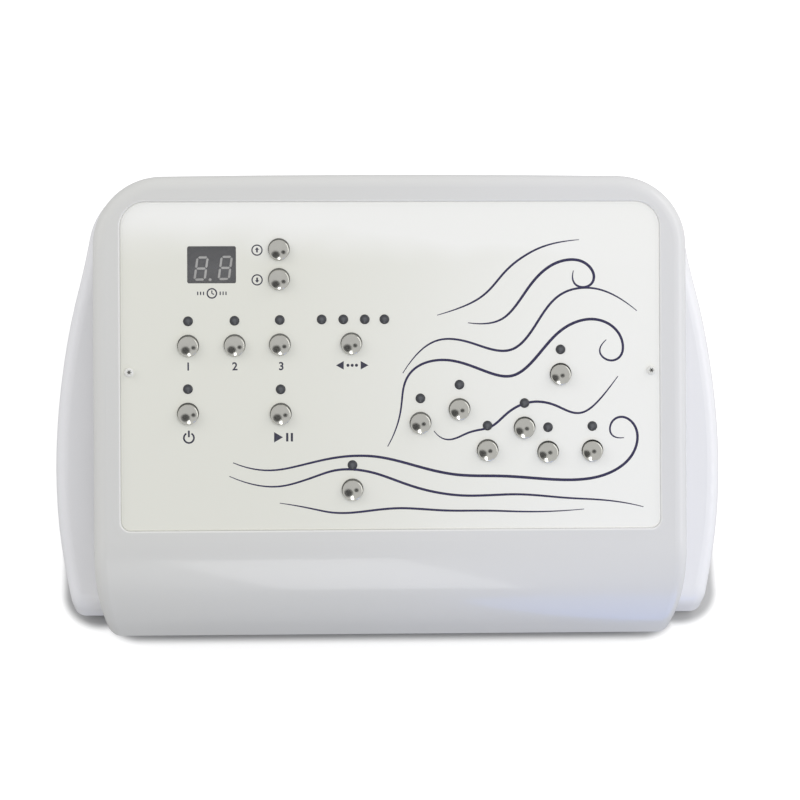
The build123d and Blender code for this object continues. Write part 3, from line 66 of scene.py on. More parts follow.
ROOT = "console"
MM = 0.001
PANEL_DEPTH = 1.2  # Millimetres from the cover's face down to the panel's.
TINY = 1e-6  # Metres that count as nothing.
END_DEPTH = 0.05 * MM  # How far from its end a shank is measured.
NEARLY = 0.98  # Share of a full value that counts as the whole.
BLACK = (0.0, 0.0, 0.0)
WHITE = (1.0, 1.0, 1.0)
RIGHT = Vector((1, 0, 0))


def linear(value: int) -> float:
    """One channel of a shade from 0 to 255 without its display curve."""
    share = value / 255
    return share / 12.92 if share <= 0.04045 else ((share + 0.055) / 1.055) ** 2.4


def shown(red: int, green: int, blue: int) -> Colour:
    """Linear colour of a shade as a display shows it."""
    return linear(red), linear(green), linear(blue)


# ---------------- places
@dataclass(frozen=True)
class Slope:
    """The sloping control face and its own places."""

    tilt: float = math.radians(30)
    middle: Place = (-6.121, 112.177)

    def frame(self, u: float, v: float, w: float = -PANEL_DEPTH) -> Matrix:
        """Where a piece modelled on the origin goes on the face.

        Args:
            u: Millimetres across from the panel's middle.
            v: Millimetres up the slope.
            w: Millimetres out of the cover's face.

        Returns:
            Its matrix.
        """
        y = self.middle[0] + v * math.cos(self.tilt) - w * math.sin(self.tilt)
        z = self.middle[1] + v * math.sin(self.tilt) + w * math.cos(self.tilt)
        return Matrix.Translation((u * MM, y * MM, z * MM)) @ Matrix.Rotation(self.tilt, 4, "X")

    def place_of(self, point: Vector) -> Place:
        """Millimetres across and up the slope of a point of the row frame."""
        y, z = point.y / MM - self.middle[0], point.z / MM - self.middle[1]
        return point.x / MM, y * math.cos(self.tilt) + z * math.sin(self.tilt)

    @property
    def normal(self) -> Vector:
        """Direction out of the face."""
        return Vector((0, -math.sin(self.tilt), math.cos(self.tilt)))

    @property
    def upward(self) -> Vector:
        """Direction up the slope."""
        return Vector((0, math.cos(self.tilt), math.sin(self.tilt)))


SLOPE = Slope()


@dataclass(frozen=True)
class Seam:
    """The seam round the control panel, in metres on the sloping face, where painted light fills the gap."""

    half: Place = (0.13998, 0.08508)
    top_corner: float = 0.013
    low_corner: float = 0.005
    fade: Pair = (0.0004, 0.0012)


SEAM = Seam()


# ---------------- shader maths
class Signal:
    """A number that a material works out at each point; arithmetic on it adds Math nodes."""

    def __init__(self, tree: bpy.types.NodeTree, socket: bpy.types.NodeSocket) -> None:
        """Wraps an output socket of a node tree."""
        self.tree = tree
        self.socket = socket

    def work(self, operation: str, *values: "Signal | float", clamp: bool = False) -> "Signal":
        """Adds one Math node.

        Args:
            operation: Its operation.
            *values: Its inputs, in order.
            clamp: Whether its result is kept from 0 to 1.

        Returns:
            Its result.
        """
        node = self.tree.nodes.new("ShaderNodeMath")
        node.operation = operation
        node.use_clamp = clamp
        for port, value in zip(node.inputs, values):
            connect(self.tree, value, port)
        return Signal(self.tree, node.outputs[0])

    def __add__(self, other: "Signal | float") -> "Signal":
        """Sum."""
        return self.work("ADD", self, other)

    __radd__ = __add__

    def __sub__(self, other: "Signal | float") -> "Signal":
        """Difference."""
        return self.work("SUBTRACT", self, other)

    def __rsub__(self, other: float) -> "Signal":
        """Difference from a number."""
        return self.work("SUBTRACT", other, self)

    def __mul__(self, other: "Signal | float") -> "Signal":
        """Product."""
        return self.work("MULTIPLY", self, other)

    __rmul__ = __mul__

    def __gt__(self, other: "Signal | float") -> "Signal":
        """1 where this is the greater, otherwise 0."""
        return self.work("GREATER_THAN", self, other)

    def clipped(self) -> "Signal":
        """The same number kept from 0 to 1."""
        return self.work("ADD", self, 0.0, clamp=True)

    def smooth_between(self, low: float, high: float) -> "Signal":
        """A soft step from 0 at a low value to 1 at a high one."""
        share = ((self - low) * (1 / (high - low))).clipped()
        return share * share * (3.0 - 2.0 * share)


def connect(tree: bpy.types.NodeTree, value: Any, port: bpy.types.NodeSocket) -> None:
    """Gives a socket a link or a plain value.

    Args:
        tree: The node tree.
        value: A Signal, a number, a vector or a colour.
        port: The input socket.
    """
    if isinstance(value, Signal):
        tree.links.new(value.socket, port)
    elif port.type == "RGBA" and len(value) == 3:
        port.default_value = (*value, 1.0)
    else:
        port.default_value = value


class MixPort(Enum):
    """Sockets of the Mix node when it mixes colours."""

    FACTOR = 0
    FIRST = 6
    SECOND = 7
    RESULT = 2


class Recipe:
    """A material while it is being mixed."""

    def __init__(self, name: str) -> None:
        """Starts a material.

        Args:
            name: Its name.
        """
        self.material = bpy.data.materials.new(name)
        self.material.use_nodes = True
        self.tree = self.material.node_tree
        self.surface = self.tree.nodes["Principled BSDF"]

    def node(self, kind: str, settings: dict[str, Any] | None = None,
             sockets: dict[str | int, Any] | None = None, output: str | int = 0) -> Signal:
        """Adds a node.

        Args:
            kind: Its type.
            settings: Its settings.
            sockets: Values or links of its inputs, by name or number.
            output: The output wanted.

        Returns:
            That output.
        """
        node = self.tree.nodes.new(kind)
        for key, value in (settings or {}).items():
            setattr(node, key, value)
        for key, value in (sockets or {}).items():
            connect(self.tree, value, node.inputs[key])
        return Signal(self.tree, node.outputs[output])

    def feed(self, **values: Any) -> None:
        """Sets or links sockets of the surface shader.

        Args:
            **values: Values by socket name, with underscores for spaces.
        """
        for key, value in values.items():
            socket = key.replace("_", " ").title().replace("Ior", "IOR")
            connect(self.tree, value, self.surface.inputs[socket])

    def spot(self) -> Signal:
        """Object coordinates."""
        return self.node("ShaderNodeTexCoord", output="Object")

    def along(self, axis: Vector) -> Signal:
        """Metres along an axis of the row frame."""
        return self.node("ShaderNodeVectorMath", {"operation": "DOT_PRODUCT"},
                         {0: self.spot(), 1: tuple(axis)}, "Value")

    def wavering(self, axis: Vector, drift: float, size: float) -> Signal:
        """Metres along an axis that drift to and fro in clouds, so that a fade has no straight edge."""
        return self.along(axis) + drift * (self.noise(size, 1) - 0.5)

    def marked(self, name: str) -> Signal:
        """The value that a piece's corners carry under a name."""
        return self.node("ShaderNodeAttribute", {"attribute_name": name}, output="Fac")

    def noise(self, size: float, detail: float = 2.0) -> Signal:
        """Noise about 0.5, in clouds of a size in metres with a number of finer layers."""
        return self.node("ShaderNodeTexNoise", sockets={
            "Vector": self.spot(), "Scale": 1 / size, "Detail": detail})

    def blend(self, first: Any, second: Any, mask: Signal | float) -> Signal:
        """Mixes a colour where the mask is 0 with a second one where it is 1."""
        return self.node("ShaderNodeMix", {"data_type": "RGBA"}, {
            MixPort.FACTOR.value: mask, MixPort.FIRST.value: first, MixPort.SECOND.value: second,
        }, MixPort.RESULT.value)

    @staticmethod
    def beyond(across: Signal, upward: Signal, half: Place, corner: Signal | float) -> Signal:
        """Distance from the edge of a rectangle with round corners, below 0 inside it.

        Args:
            across: Distance across from its middle.
            upward: Distance up from its middle.
            half: Half its width and its height.
            corner: Radius of its corners.

        Returns:
            The distance.
        """
        beside = across.work("ABSOLUTE", across) - half[0] + corner
        above = across.work("ABSOLUTE", upward) - half[1] + corner
        beside, above = (way.work("MAXIMUM", way, 0.0) for way in (beside, above))
        return across.work("SQRT", beside * beside + above * above) - corner

    def light_seam(self, strength: float) -> None:
        """Paints a glow into the seam round the control panel, brightening the gap where shade would fall:
        painted light.

        Args:
            strength: Strength of that light.
        """
        across = self.along(RIGHT)
        upward = self.along(SLOPE.upward) - SLOPE.frame(0, 0).translation.dot(SLOPE.upward)
        corner = SEAM.low_corner + (SEAM.top_corner - SEAM.low_corner) * (upward > 0.0)
        away = self.beyond(across, upward, SEAM.half, corner)
        # Painted light: emission that fades out a little way either side of the seam.
        lit = 1 - away.work("ABSOLUTE", away).smooth_between(*SEAM.fade)
        self.feed(emission_color=self.blend(BLACK, WHITE, lit), emission_strength=strength)

    def glaze(self, weight: float, roughness: float) -> None:
        """Lays a clear coat over the surface."""
        self.feed(coat_weight=weight, coat_roughness=roughness)

    def emboss(self, height: Signal, depth: float) -> None:
        """Bumps the surface with a pattern from 0 to 1, whose 1 stands a depth in metres high."""
        self.feed(normal=self.node("ShaderNodeBump", sockets={"Height": height, "Distance": depth},
                                   output="Normal"))


# ---------------- finishes
# A pair in a finish is a noise's size and detail, a fade's start and end, how far a fade wanders and
# in what size of clouds, a clear coat's weight and roughness, or a least value and what is added to it.
TINS: dict[str, bpy.types.Material] = {}  # The mixed finishes by slot.


def shaded(colour: Colour, share: float) -> Colour:
    """A colour made darker or lighter by a share."""
    return tuple(min(channel * share, 1.0) for channel in colour)


@dataclass(frozen=True)
class Finish:
    """What every finish has: the record's material slot, a colour and a roughness."""

    slot: str
    colour: Colour
    roughness: float

    def shade(self, recipe: Recipe) -> None:
        """Mixes the surface into a material."""
        raise NotImplementedError

    def mix(self) -> None:
        """Mixes the finish and keeps it in its tin."""
        recipe = Recipe(self.slot)
        recipe.feed(roughness=self.roughness, base_color=self.colour)
        self.shade(recipe)
        TINS[self.slot] = recipe.material


@dataclass(frozen=True)
class GlossMoulding(Finish):
    """Polished white moulding with the slow ripple and faint handling marks of a real housing."""

    ripple: float = 0.00004
    ripple_size: float = 0.05
    coat: Pair = (0.4, 0.06)
    refraction: float = 1.5
    # Colour share at the left end: painted shade where less light falls, with a warm tint.
    aged: Colour = WHITE
    reach: float = 0.15
    drift: Pair = (0.08, 0.11)
    smudge: float = 0.03
    smudge_size: float = 0.025
    smudge_edge: Pair = (0.3, 0.8)
    # Strength of painted light in the seam round the control panel.
    seam_glow: float = 0.0

    def shade(self, recipe: Recipe) -> None:
        """Mixes white that turns darker and warmer towards the left, painted shade with a warm tint, with
        smudged gloss and a ripple.
        """
        # Painted shade: the colour darkens and warms towards the left across a wavering fade.
        across = recipe.wavering(RIGHT, *self.drift)
        painted_left_shade = tuple(channel * share for channel, share in zip(self.colour, self.aged))
        recipe.feed(base_color=recipe.blend(painted_left_shade, self.colour, across.smooth_between(-self.reach, self.reach)))
        smudges = recipe.noise(self.smudge_size, 1).smooth_between(*self.smudge_edge)
        recipe.feed(roughness=self.roughness + self.smudge * smudges, ior=self.refraction)
        recipe.glaze(*self.coat)
        recipe.emboss(recipe.noise(self.ripple_size, 0), self.ripple)
        if self.seam_glow:
            recipe.light_seam(self.seam_glow)


@dataclass(frozen=True)
class PrintedSheet(Finish):
    """Pale sheet, printed from behind, darker and yellower towards its left end under a satin grain: painted
    shade with a yellow tint.
    """

    # Colour at the left end: painted shade, darker where less light falls, with a yellow tint.
    aged: Colour
    sides: Pair = (-0.08, 0.14)
    side_drift: Pair = (0.05, 0.12)
    top: Pair = (0.102, 0.13)
    top_drift: Pair = (0.012, 0.03)
    gain: float = 0.05
    grain: float = 0.006
    coat: Pair = (0.3, 0.12)
    wave_size: float = 0.02
    wave: float = 0.000006
    # Strength of painted light in the seam round the control panel.
    seam_glow: float = 0.1

    def shade(self, recipe: Recipe) -> None:
        """Mixes the plain colour with a darker, yellower one towards the left, kept off near the top edge:
        painted shade with a yellow tint.
        """
        across = recipe.wavering(RIGHT, *self.side_drift)
        upward = recipe.wavering(SLOPE.upward, *self.top_drift)
        # Painted shade: where this share is low, towards the left and below the top edge, the darker,
        # yellower colour is laid.
        unshaded = across.smooth_between(*self.sides) + upward.smooth_between(*self.top)
        recipe.feed(base_color=recipe.blend(self.aged, self.colour, unshaded.clipped()),
                    roughness=self.roughness + self.gain * recipe.noise(self.grain))
        recipe.glaze(*self.coat)
        recipe.emboss(recipe.noise(self.wave_size, 1), self.wave)
        recipe.light_seam(self.seam_glow)


@dataclass(frozen=True)
class BrightPlating(Finish):
    """Chromium plating with hairline polishing marks, a breath of haze and a darker foot: painted shade on
    the cap's outer rim and below it.
    """

    # Share of the colour on the marked foot: painted shade of the gap round the cap.
    foot: float = 0.35
    haze: Pair = (0.003, 3)
    haze_shade: float = 0.9
    gain: float = 0.05
    hairline: float = 0.0012
    depth: float = 0.000003

    def shade(self, recipe: Recipe) -> None:
        """Mixes bright metal with fine marks."""
        haze = recipe.noise(*self.haze)
        plated = recipe.blend(shaded(self.colour, self.haze_shade), self.colour, haze)
        # Painted shade: the marked foot is laid darker.
        recipe.feed(base_color=recipe.blend(plated, shaded(self.colour, self.foot), recipe.marked("foot")),
                    roughness=self.roughness + self.gain * haze, metallic=1.0)
        recipe.emboss(recipe.noise(self.hairline), self.depth)


@dataclass(frozen=True)
class BareMetal(Finish):
    """Plated or cast metal with darker patches and a fine grain."""

    grain: float = 0.0004
    depth: float = 0.00001
    patch: Pair = (0.006, 4)
    dark: float = 0.75
    gain: float = 0.12
    metal: float = 1.0

    def shade(self, recipe: Recipe) -> None:
        """Mixes metal or its coat with its grain and darker patches."""
        patches = recipe.blend(shaded(self.colour, self.dark), self.colour, recipe.noise(*self.patch))
        grain = recipe.noise(self.grain)
        recipe.feed(base_color=patches, roughness=self.roughness + self.gain * grain, metallic=self.metal)
        recipe.emboss(grain, self.depth)


@dataclass(frozen=True)
class PowderCoat(BareMetal):
    """Sheet metal under a pebbled powder coat."""

    grain: float = 0.0011
    depth: float = 0.00005
    patch: Pair = (0.05, 3)
    dark: float = 0.93
    gain: float = 0.1
    metal: float = 0.0


@dataclass(frozen=True)
class MattMoulding(Finish):
    """Spark-eroded moulding or rubber: an even colour under a fine grain."""

    grain: float = 0.0007
    depth: float = 0.00003
    gain: float = 0.12
    dust: float = 0.12
    dust_size: float = 0.011
    dust_edge: Pair = (0.45, 0.8)
    dust_colour: Colour = (0.35, 0.34, 0.32)

    def shade(self, recipe: Recipe) -> None:
        """Mixes a grained surface with a little dust on it."""
        dust = recipe.noise(self.dust_size, 4).smooth_between(*self.dust_edge) * self.dust
        grain = recipe.noise(self.grain, 3)
        recipe.feed(base_color=recipe.blend(self.colour, self.dust_colour, dust),
                    roughness=self.roughness + self.gain * grain)
        recipe.emboss(grain, self.depth)


@dataclass(frozen=True)
class CoredGloss(Finish):
    """Gloss with a core of another colour: a lamp's resin over its paler cup, or a lacquered screw with
    painted shade in its recess.
    """

    core: Colour
    speckle: float = 0.0005
    cover: Pair = (0.6, 0.7)
    gain: float = 0.1
    coat: Pair = (0.4, 0.08)

    def shade(self, recipe: Recipe) -> None:
        """Mixes the rim with the core that the piece's attribute marks."""
        speckle = recipe.noise(self.speckle)
        least, more = self.cover
        core = recipe.marked("core") * (least + more * speckle)
        recipe.feed(base_color=recipe.blend(self.colour, self.core, core),
                    roughness=self.roughness + self.gain * speckle)
        recipe.glaze(*self.coat)


@dataclass(frozen=True)
class TintedSheet(Finish):
    """See-through plastic: a smoked window or a clear hose."""

    cover: float
    haze: Pair = (0.01, 3)
    haze_shade: float = 1.25
    haze_cover: float = 0.04
    gain: float = 0.05

    def shade(self, recipe: Recipe) -> None:
        """Mixes a glossy tint that lets part of what is behind it show."""
        haze = recipe.noise(*self.haze)
        recipe.feed(base_color=recipe.blend(self.colour, shaded(self.colour, self.haze_shade), haze),
                    roughness=self.roughness + self.gain * haze, alpha=self.cover + self.haze_cover * haze)


@dataclass(frozen=True)
class BandedStock(Finish):
    """Stock with lines along one axis: laminations, wound wire or a flat cable's cores."""

    line: Colour
    pitch: float = 0.001
    axis: Triple = (0, 1, 0)
    edge: Pair = (0.1, 0.6)
    grain: Pair = (0.004, 3)
    gain: float = 0.15
    metal: float = 0.0
    depth: float = 0.0001

    def shade(self, recipe: Recipe) -> None:
        """Mixes two colours in lines, with the lines as relief."""
        turn = recipe.along(Vector(self.axis)) * (2 * math.pi / self.pitch)
        lines = 0.5 + 0.5 * turn.work("SINE", turn)
        recipe.feed(base_color=recipe.blend(self.line, self.colour, lines.smooth_between(*self.edge)),
                    roughness=self.roughness + self.gain * recipe.noise(*self.grain), metallic=self.metal)
        recipe.emboss(lines, self.depth)


@dataclass(frozen=True)
class CircuitLaminate(Finish):
    """Green circuit board with solder-masked tracks, pads and plated holes."""

    track: Colour = (0.03, 0.2, 0.08)
    solder: Colour = (0.6, 0.6, 0.58)
    cell: float = 0.005
    pad_edge: Pair = (0.13, 0.17)
    gain: float = 0.1
    grain: float = 0.002
    depth: float = 0.00004

    def shade(self, recipe: Recipe) -> None:
        """Mixes tracks and pads into the mask's green."""
        bricks = recipe.node("ShaderNodeTexBrick", {"offset": 0.37, "squash": 1.6}, {
            "Vector": recipe.spot(), "Scale": 1 / self.cell, "Mortar Size": 0.1, "Mortar Smooth": 0.3,
            "Brick Width": 1.4, "Row Height": 0.35}, "Fac")
        green = recipe.blend(self.colour, self.track, bricks)
        spots = recipe.node("ShaderNodeTexVoronoi", sockets={
            "Vector": recipe.spot(), "Scale": 1 / self.cell, "Randomness": 0.55}, output="Distance")
        pads = 1 - spots.smooth_between(*self.pad_edge)
        recipe.feed(base_color=recipe.blend(green, self.solder, pads), metallic=pads,
                    roughness=self.roughness - self.gain * pads + self.gain * recipe.noise(self.grain))
        recipe.emboss(bricks + 2 * pads, self.depth)


@dataclass(frozen=True)
class PrintInk(Finish):
    """Screen-printed ink, a little uneven in its coverage."""

    patch: Pair = (0.0012, 3)
    patch_edge: Pair = (0.5, 0.8)
    worn: float = 1.8
    gain: float = 0.1

    def shade(self, recipe: Recipe) -> None:
        """Mixes ink with thin patches."""
        thin = recipe.noise(*self.patch)
        pale = shaded(self.colour, self.worn)
        worn = recipe.blend(self.colour, pale, thin.smooth_between(*self.patch_edge))
        recipe.feed(base_color=worn, roughness=self.roughness + self.gain * thin)


FINISHES: list[Finish] = [
    # The shares given for the left ends of the mouldings and the panel are painted shade with a warm tint;
    # the glow given to the cover is painted light in the seam round the panel.
    GlossMoulding("cover_plastic", shown(224, 224, 225), 0.29, aged=(0.94, 0.94, 0.91), seam_glow=0.09),
    GlossMoulding("case_plastic", shown(240, 240, 243), 0.29, ripple_size=0.06, aged=(0.97, 0.97, 0.97)),
    PrintedSheet("panel_acrylic", shown(248, 248, 245), 0.32, aged=shown(232, 232, 223)),
    BrightPlating("chrome", shown(238, 237, 230), 0.1),
    CoredGloss("light_lens", shown(58, 59, 64), 0.28, core=shown(96, 98, 102)),
    TintedSheet("smoked_window", shown(122, 122, 124), 0.12, cover=0.38),
    MattMoulding("display_black", shown(130, 130, 130), 0.5, depth=0.00001),
    BareMetal("steel", shown(190, 190, 188), 0.29),
    MattMoulding("rubber", shown(40, 40, 42), 0.75, depth=0.00005),
    PowderCoat("plate_metal", shown(206, 207, 208), 0.42),
    MattMoulding("black_plastic", shown(34, 34, 36), 0.48),
    BareMetal("brass", shown(214, 178, 96), 0.29),
    CircuitLaminate("board_green", shown(24, 92, 52), 0.38),
    MattMoulding("part_black", shown(44, 44, 46), 0.42, depth=0.00002),
    BandedStock("core_steel", shown(130, 130, 134), 0.42, line=shown(62, 60, 60), metal=0.8),
    BandedStock("winding", shown(190, 102, 52), 0.3, line=shown(86, 38, 16), pitch=0.0008,
                axis=(0, 0, 1), metal=0.6, depth=0.00025),
    BareMetal("pump_alloy", shown(176, 178, 180), 0.5, grain=0.0012, depth=0.00012),
    MattMoulding("manifold_white", shown(224, 224, 220), 0.4, depth=0.00001, dust=0.05),
    TintedSheet("tube_clear", shown(214, 220, 222), 0.2, cover=0.5),
    MattMoulding("lead_brown", shown(104, 62, 34), 0.4, depth=0.00001, dust=0.05),
    BandedStock("ribbon_grey", shown(168, 168, 170), 0.45, line=shown(118, 118, 122),
                pitch=0.00127, axis=(1, 0, 0), depth=0.0002),
    MattMoulding("magnet", shown(72, 72, 76), 0.36, grain=0.0004),
]
INK = PrintInk("panel_ink", shown(62, 62, 76), 0.4)
LINE_INK = PrintInk("line_ink", shown(50, 47, 80), 0.4)
# The lacquered heads' dark core is painted shade in their drive recesses.
LACQUER_WITH_RECESS_SHADE = CoredGloss("screw_lacquer_recess_shade", shown(232, 232, 228), 0.3, core=shown(92, 92, 88))
SEGMENT_GREY = PrintInk("segment_grey", shown(250, 248, 244), 0.5)


# ---------------- modelling
def clear() -> None:
    """Leaves edit mode and selects nothing."""
    if bpy.context.object is not None and bpy.context.object.mode != "OBJECT":
        bpy.ops.object.mode_set(mode="OBJECT")
    bpy.ops.object.select_all(action="DESELECT")


def edit(kind: str) -> None:
    """Opens the active piece in edit mode, to work on its faces or edges."""
    bpy.ops.object.mode_set(mode="EDIT")
    bpy.ops.mesh.select_mode(type=kind)


def shape_in_place() -> Piece:
    """Gives the new primitive's place and size to its mesh."""
    bpy.ops.object.transform_apply(location=True, rotation=True, scale=True)
    return bpy.context.object


def take(piece: Piece) -> None:
    """Selects one piece and makes it the active one."""
    clear()
    piece.select_set(True)
    bpy.context.view_layer.objects.active = piece


def pick_faces(piece: Piece, wanted: Callable[[bmesh.types.BMFace], bool]) -> None:
    """Selects the faces that a test wants, in edit mode.

    Args:
        piece: The piece, in edit mode.
        wanted: The test.
    """
    mesh = bmesh.from_edit_mesh(piece.data)
    for face in mesh.faces:
        face.select_set(False)
    mesh.select_flush(False)
    for face in mesh.faces:
        if wanted(face):
            face.select_set(True)
    bmesh.update_edit_mesh(piece.data)


def turned(name: str, profile: list[Place], sides: int, smooth: float = 32.0) -> Piece:
    """A turned piece on the origin's axis, drawn up ring by ring from a cylinder's lower ring.

    Args:
        name: Its name.
        profile: Radius and height of its rings, upwards.
        sides: Faces round it.
        smooth: Degrees past which an edge stays sharp.

    Returns:
        The piece.
    """
    clear()
    (radius, low), (next_radius, high) = profile[0], profile[1]
    bpy.ops.mesh.primitive_cylinder_add(vertices=sides, radius=radius, depth=max(high - low, TINY),
                                        location=(0, 0, (low + high) / 2))
    piece = shape_in_place()
    piece.name = name
    edit("FACE")
    top = max(high, low + TINY) - TINY / 10
    pick_faces(piece, lambda face: face.calc_center_median().z > top and len(face.verts) > 4)
    bpy.ops.transform.resize(value=(next_radius / radius, next_radius / radius, 1))
    last_radius, last_height = next_radius, high
    for ring_radius, ring_height in profile[2:]:
        bpy.ops.mesh.extrude_region_move(
            TRANSFORM_OT_translate={"value": (0, 0, ring_height - last_height)})
        share = max(ring_radius, TINY) / last_radius
        bpy.ops.transform.resize(value=(share, share, 1))
        last_radius, last_height = max(ring_radius, TINY), ring_height
    if profile[-1][0] == 0:
        bpy.ops.mesh.merge(type="CENTER")
    bpy.ops.mesh.select_all(action="SELECT")
    bpy.ops.mesh.remove_doubles(threshold=TINY / 10)
    bpy.ops.mesh.normals_make_consistent(inside=False)
    bpy.ops.object.mode_set(mode="OBJECT")
    bpy.ops.object.shade_smooth_by_angle(angle=math.radians(smooth))
    return piece


def cut(piece: Piece, tool: Piece) -> None:
    """Cuts one piece with another, which is then thrown away.

    Args:
        piece: The piece.
        tool: The shape to take out.
    """
    take(piece)
    modifier = piece.modifiers.new("cut", "BOOLEAN")
    modifier.operation = "DIFFERENCE"
    modifier.solver = "EXACT"
    modifier.object = tool
    bpy.ops.object.modifier_apply(modifier=modifier.name)
    bpy.data.objects.remove(tool)


def copied(master: Piece, name: str, matrix: Matrix) -> Piece:
    """A copy of a piece, placed in a mesh of its own.

    Args:
        master: The piece.
        name: The copy's name.
        matrix: Its place in the row frame.

    Returns:
        The copy.
    """
    piece = master.copy()
    piece.data = master.data.copy()
    piece.name = name
    piece.data.name = name
    piece.data.transform(matrix)
    bpy.context.scene.collection.objects.link(piece)
    return piece


def joined(name: str, pieces: list[Piece]) -> Piece:
    """Joins meshes into one piece.

    Args:
        name: Its name.
        pieces: The meshes.

    Returns:
        The piece.
    """
    take(pieces[0])
    for piece in pieces:
        piece.select_set(True)
    if len(pieces) > 1:
        bpy.ops.object.join()
    whole = bpy.context.object
    whole.name = name
    whole.data.name = name
    return whole


def coat(piece: Piece, slot: str) -> None:
    """Gives a whole piece one finish.

    Args:
        piece: The piece.
        slot: The finish.
    """
    if not piece.data.materials:
        piece.data.materials.append(TINS[slot])
    for position in range(len(piece.data.materials)):
        piece.data.materials[position] = TINS[slot]


def mark(piece: Piece, name: str, rule: Callable[[Vector], float]) -> None:
    """Gives each corner of a piece a value that its finish reads.

    Args:
        piece: The piece.
        name: The value's name.
        rule: Works the value out from the corner's place.
    """
    layer = piece.data.attributes.new(name, "FLOAT", "POINT")
    for corner, value in zip(piece.data.vertices, layer.data):
        value.value = rule(corner.co)


def rolled(middle: Place, bend: Place, degrees: float, steps: int) -> list[Place]:
    """Rings of an edge that rises upright and rolls inwards over a bend of a given reach."""
    turns = [math.radians(degrees) * step / steps for step in range(1, steps + 1)]
    return [(middle[0] + bend[0] * math.cos(turn), middle[1] + bend[1] * math.sin(turn)) for turn in turns]


def finish_piece(piece: Piece, body: str, slot: str | None, *nodes: str) -> None:
    """Attaches a piece to the body that it moves with and hides the CAD nodes that it replaces.

    Args:
        piece: The piece.
        body: The body that it moves with.
        slot: The record's material slot, or None; not used.
        *nodes: The CAD nodes that it replaces.
    """
    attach(piece, body)
    if nodes:
        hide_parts(*nodes)
    log.info("%s rides on %s, %d faces", piece.name, body, len(piece.data.polygons))


# ---------------- controls
@dataclass
class PushButtons:
    """Sixteen plated push buttons: a crowned cap with a rolled shoulder, a flange and a stem."""

    cap_radius: float = 5.3
    rise: float = 2.0
    crown: float = 0.7
    shoulder: float = 1.0
    flange_radius: float = 6.4
    flange_top: float = -2.4
    flange_low: float = -3.6
    stem_radius: float = 1.6
    stem_end: float = -9.8
    # The cap is painted darker below this height, fading over the next value: painted shade on its outer rim.
    foot_top: float = 1.75
    foot_fade: float = 0.6
    roll: float = 74.0
    rings: int = 10
    sides: int = 64

    def profile(self) -> list[Place]:
        """Rings of the button from its stem's end to its crown, in metres."""
        rings = [(self.stem_radius, self.stem_end), (self.stem_radius, self.flange_low),
                 (self.flange_radius, self.flange_low), (self.flange_radius, self.flange_top),
                 (self.cap_radius, self.flange_top), (self.cap_radius, self.rise - self.shoulder)]
        rings += rolled((self.cap_radius - self.shoulder, self.rise - self.shoulder),
                        (self.shoulder, self.shoulder), self.roll, self.rings)
        radius, height = rings[-1]
        for step in range(1, self.rings + 1):
            left = 1 - step / self.rings
            rings.append((radius * left, height + (self.rise + self.crown - height) * (1 - left ** 2)))
        return [(radius * MM, height * MM) for radius, height in rings]

    def build(self) -> None:
        """Models one button and sets a copy in place of each CAD button."""
        master = turned("button_master", self.profile(), self.sides)
        coat(master, "chrome")
        # Painted shade: marks the cap's outer rim, flange and stem for the darker foot colour.
        mark(master, "foot",
             lambda place: min(max((self.foot_top - place.z / MM) / self.foot_fade, 0.0), 1.0))
        for node in sorted(frame["nodes"]):
            if node.endswith("_button"):
                low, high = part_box(node)
                piece = copied(master, node + "_cap", SLOPE.frame(*SLOPE.place_of((low + high) / 2)))
                finish_piece(piece, node, "chrome", node)
        bpy.data.objects.remove(master)


@dataclass
class IndicatorLamps:
    """Seventeen small domed lamps, each with a flange under the panel and a paler cup in its middle."""

    node: str = "indicator_lights"
    radius: float = 2.45
    rise: float = 0.9
    dome: float = 1.2
    flange_radius: float = 2.9
    flange_top: float = -2.4
    base: float = -15.8
    cup_radius: float = 1.5
    rings: int = 12
    sides: int = 32

    def profile(self) -> list[Place]:
        """Rings of a lamp from its base to its crown, in metres."""
        rings = [(self.flange_radius, self.base), (self.flange_radius, self.flange_top),
                 (self.radius, self.flange_top), (self.radius, self.rise - self.dome)]
        rings += rolled((0, self.rise - self.dome), (self.radius, self.dome), 90, self.rings)
        rings[-1] = (0, self.rise)
        return [(radius * MM, height * MM) for radius, height in rings]

    def build(self) -> None:
        """Models one lamp and sets a copy on each of the solids that the node holds."""
        master = turned("lamp_master", self.profile(), self.sides)
        coat(master, "light_lens")
        mark(master, "core", self.cup)
        copies = [copied(master, f"lamp_{number}", SLOPE.frame(*SLOPE.place_of(solid.middle(SLOPE.normal))))
                  for number, solid in enumerate(loose_solids(self.node))]
        bpy.data.objects.remove(master)
        finish_piece(joined("indicator_lamps", copies), ROOT, "light_lens", self.node)

    def cup(self, place: Vector) -> float:
        """How much of the cup shows at a corner of the lamp."""
        reach = math.hypot(place.x, place.y) / MM / self.cup_radius
        return max(0.0, 1.0 - reach ** 2) if place.z > self.flange_top * MM else 0.0


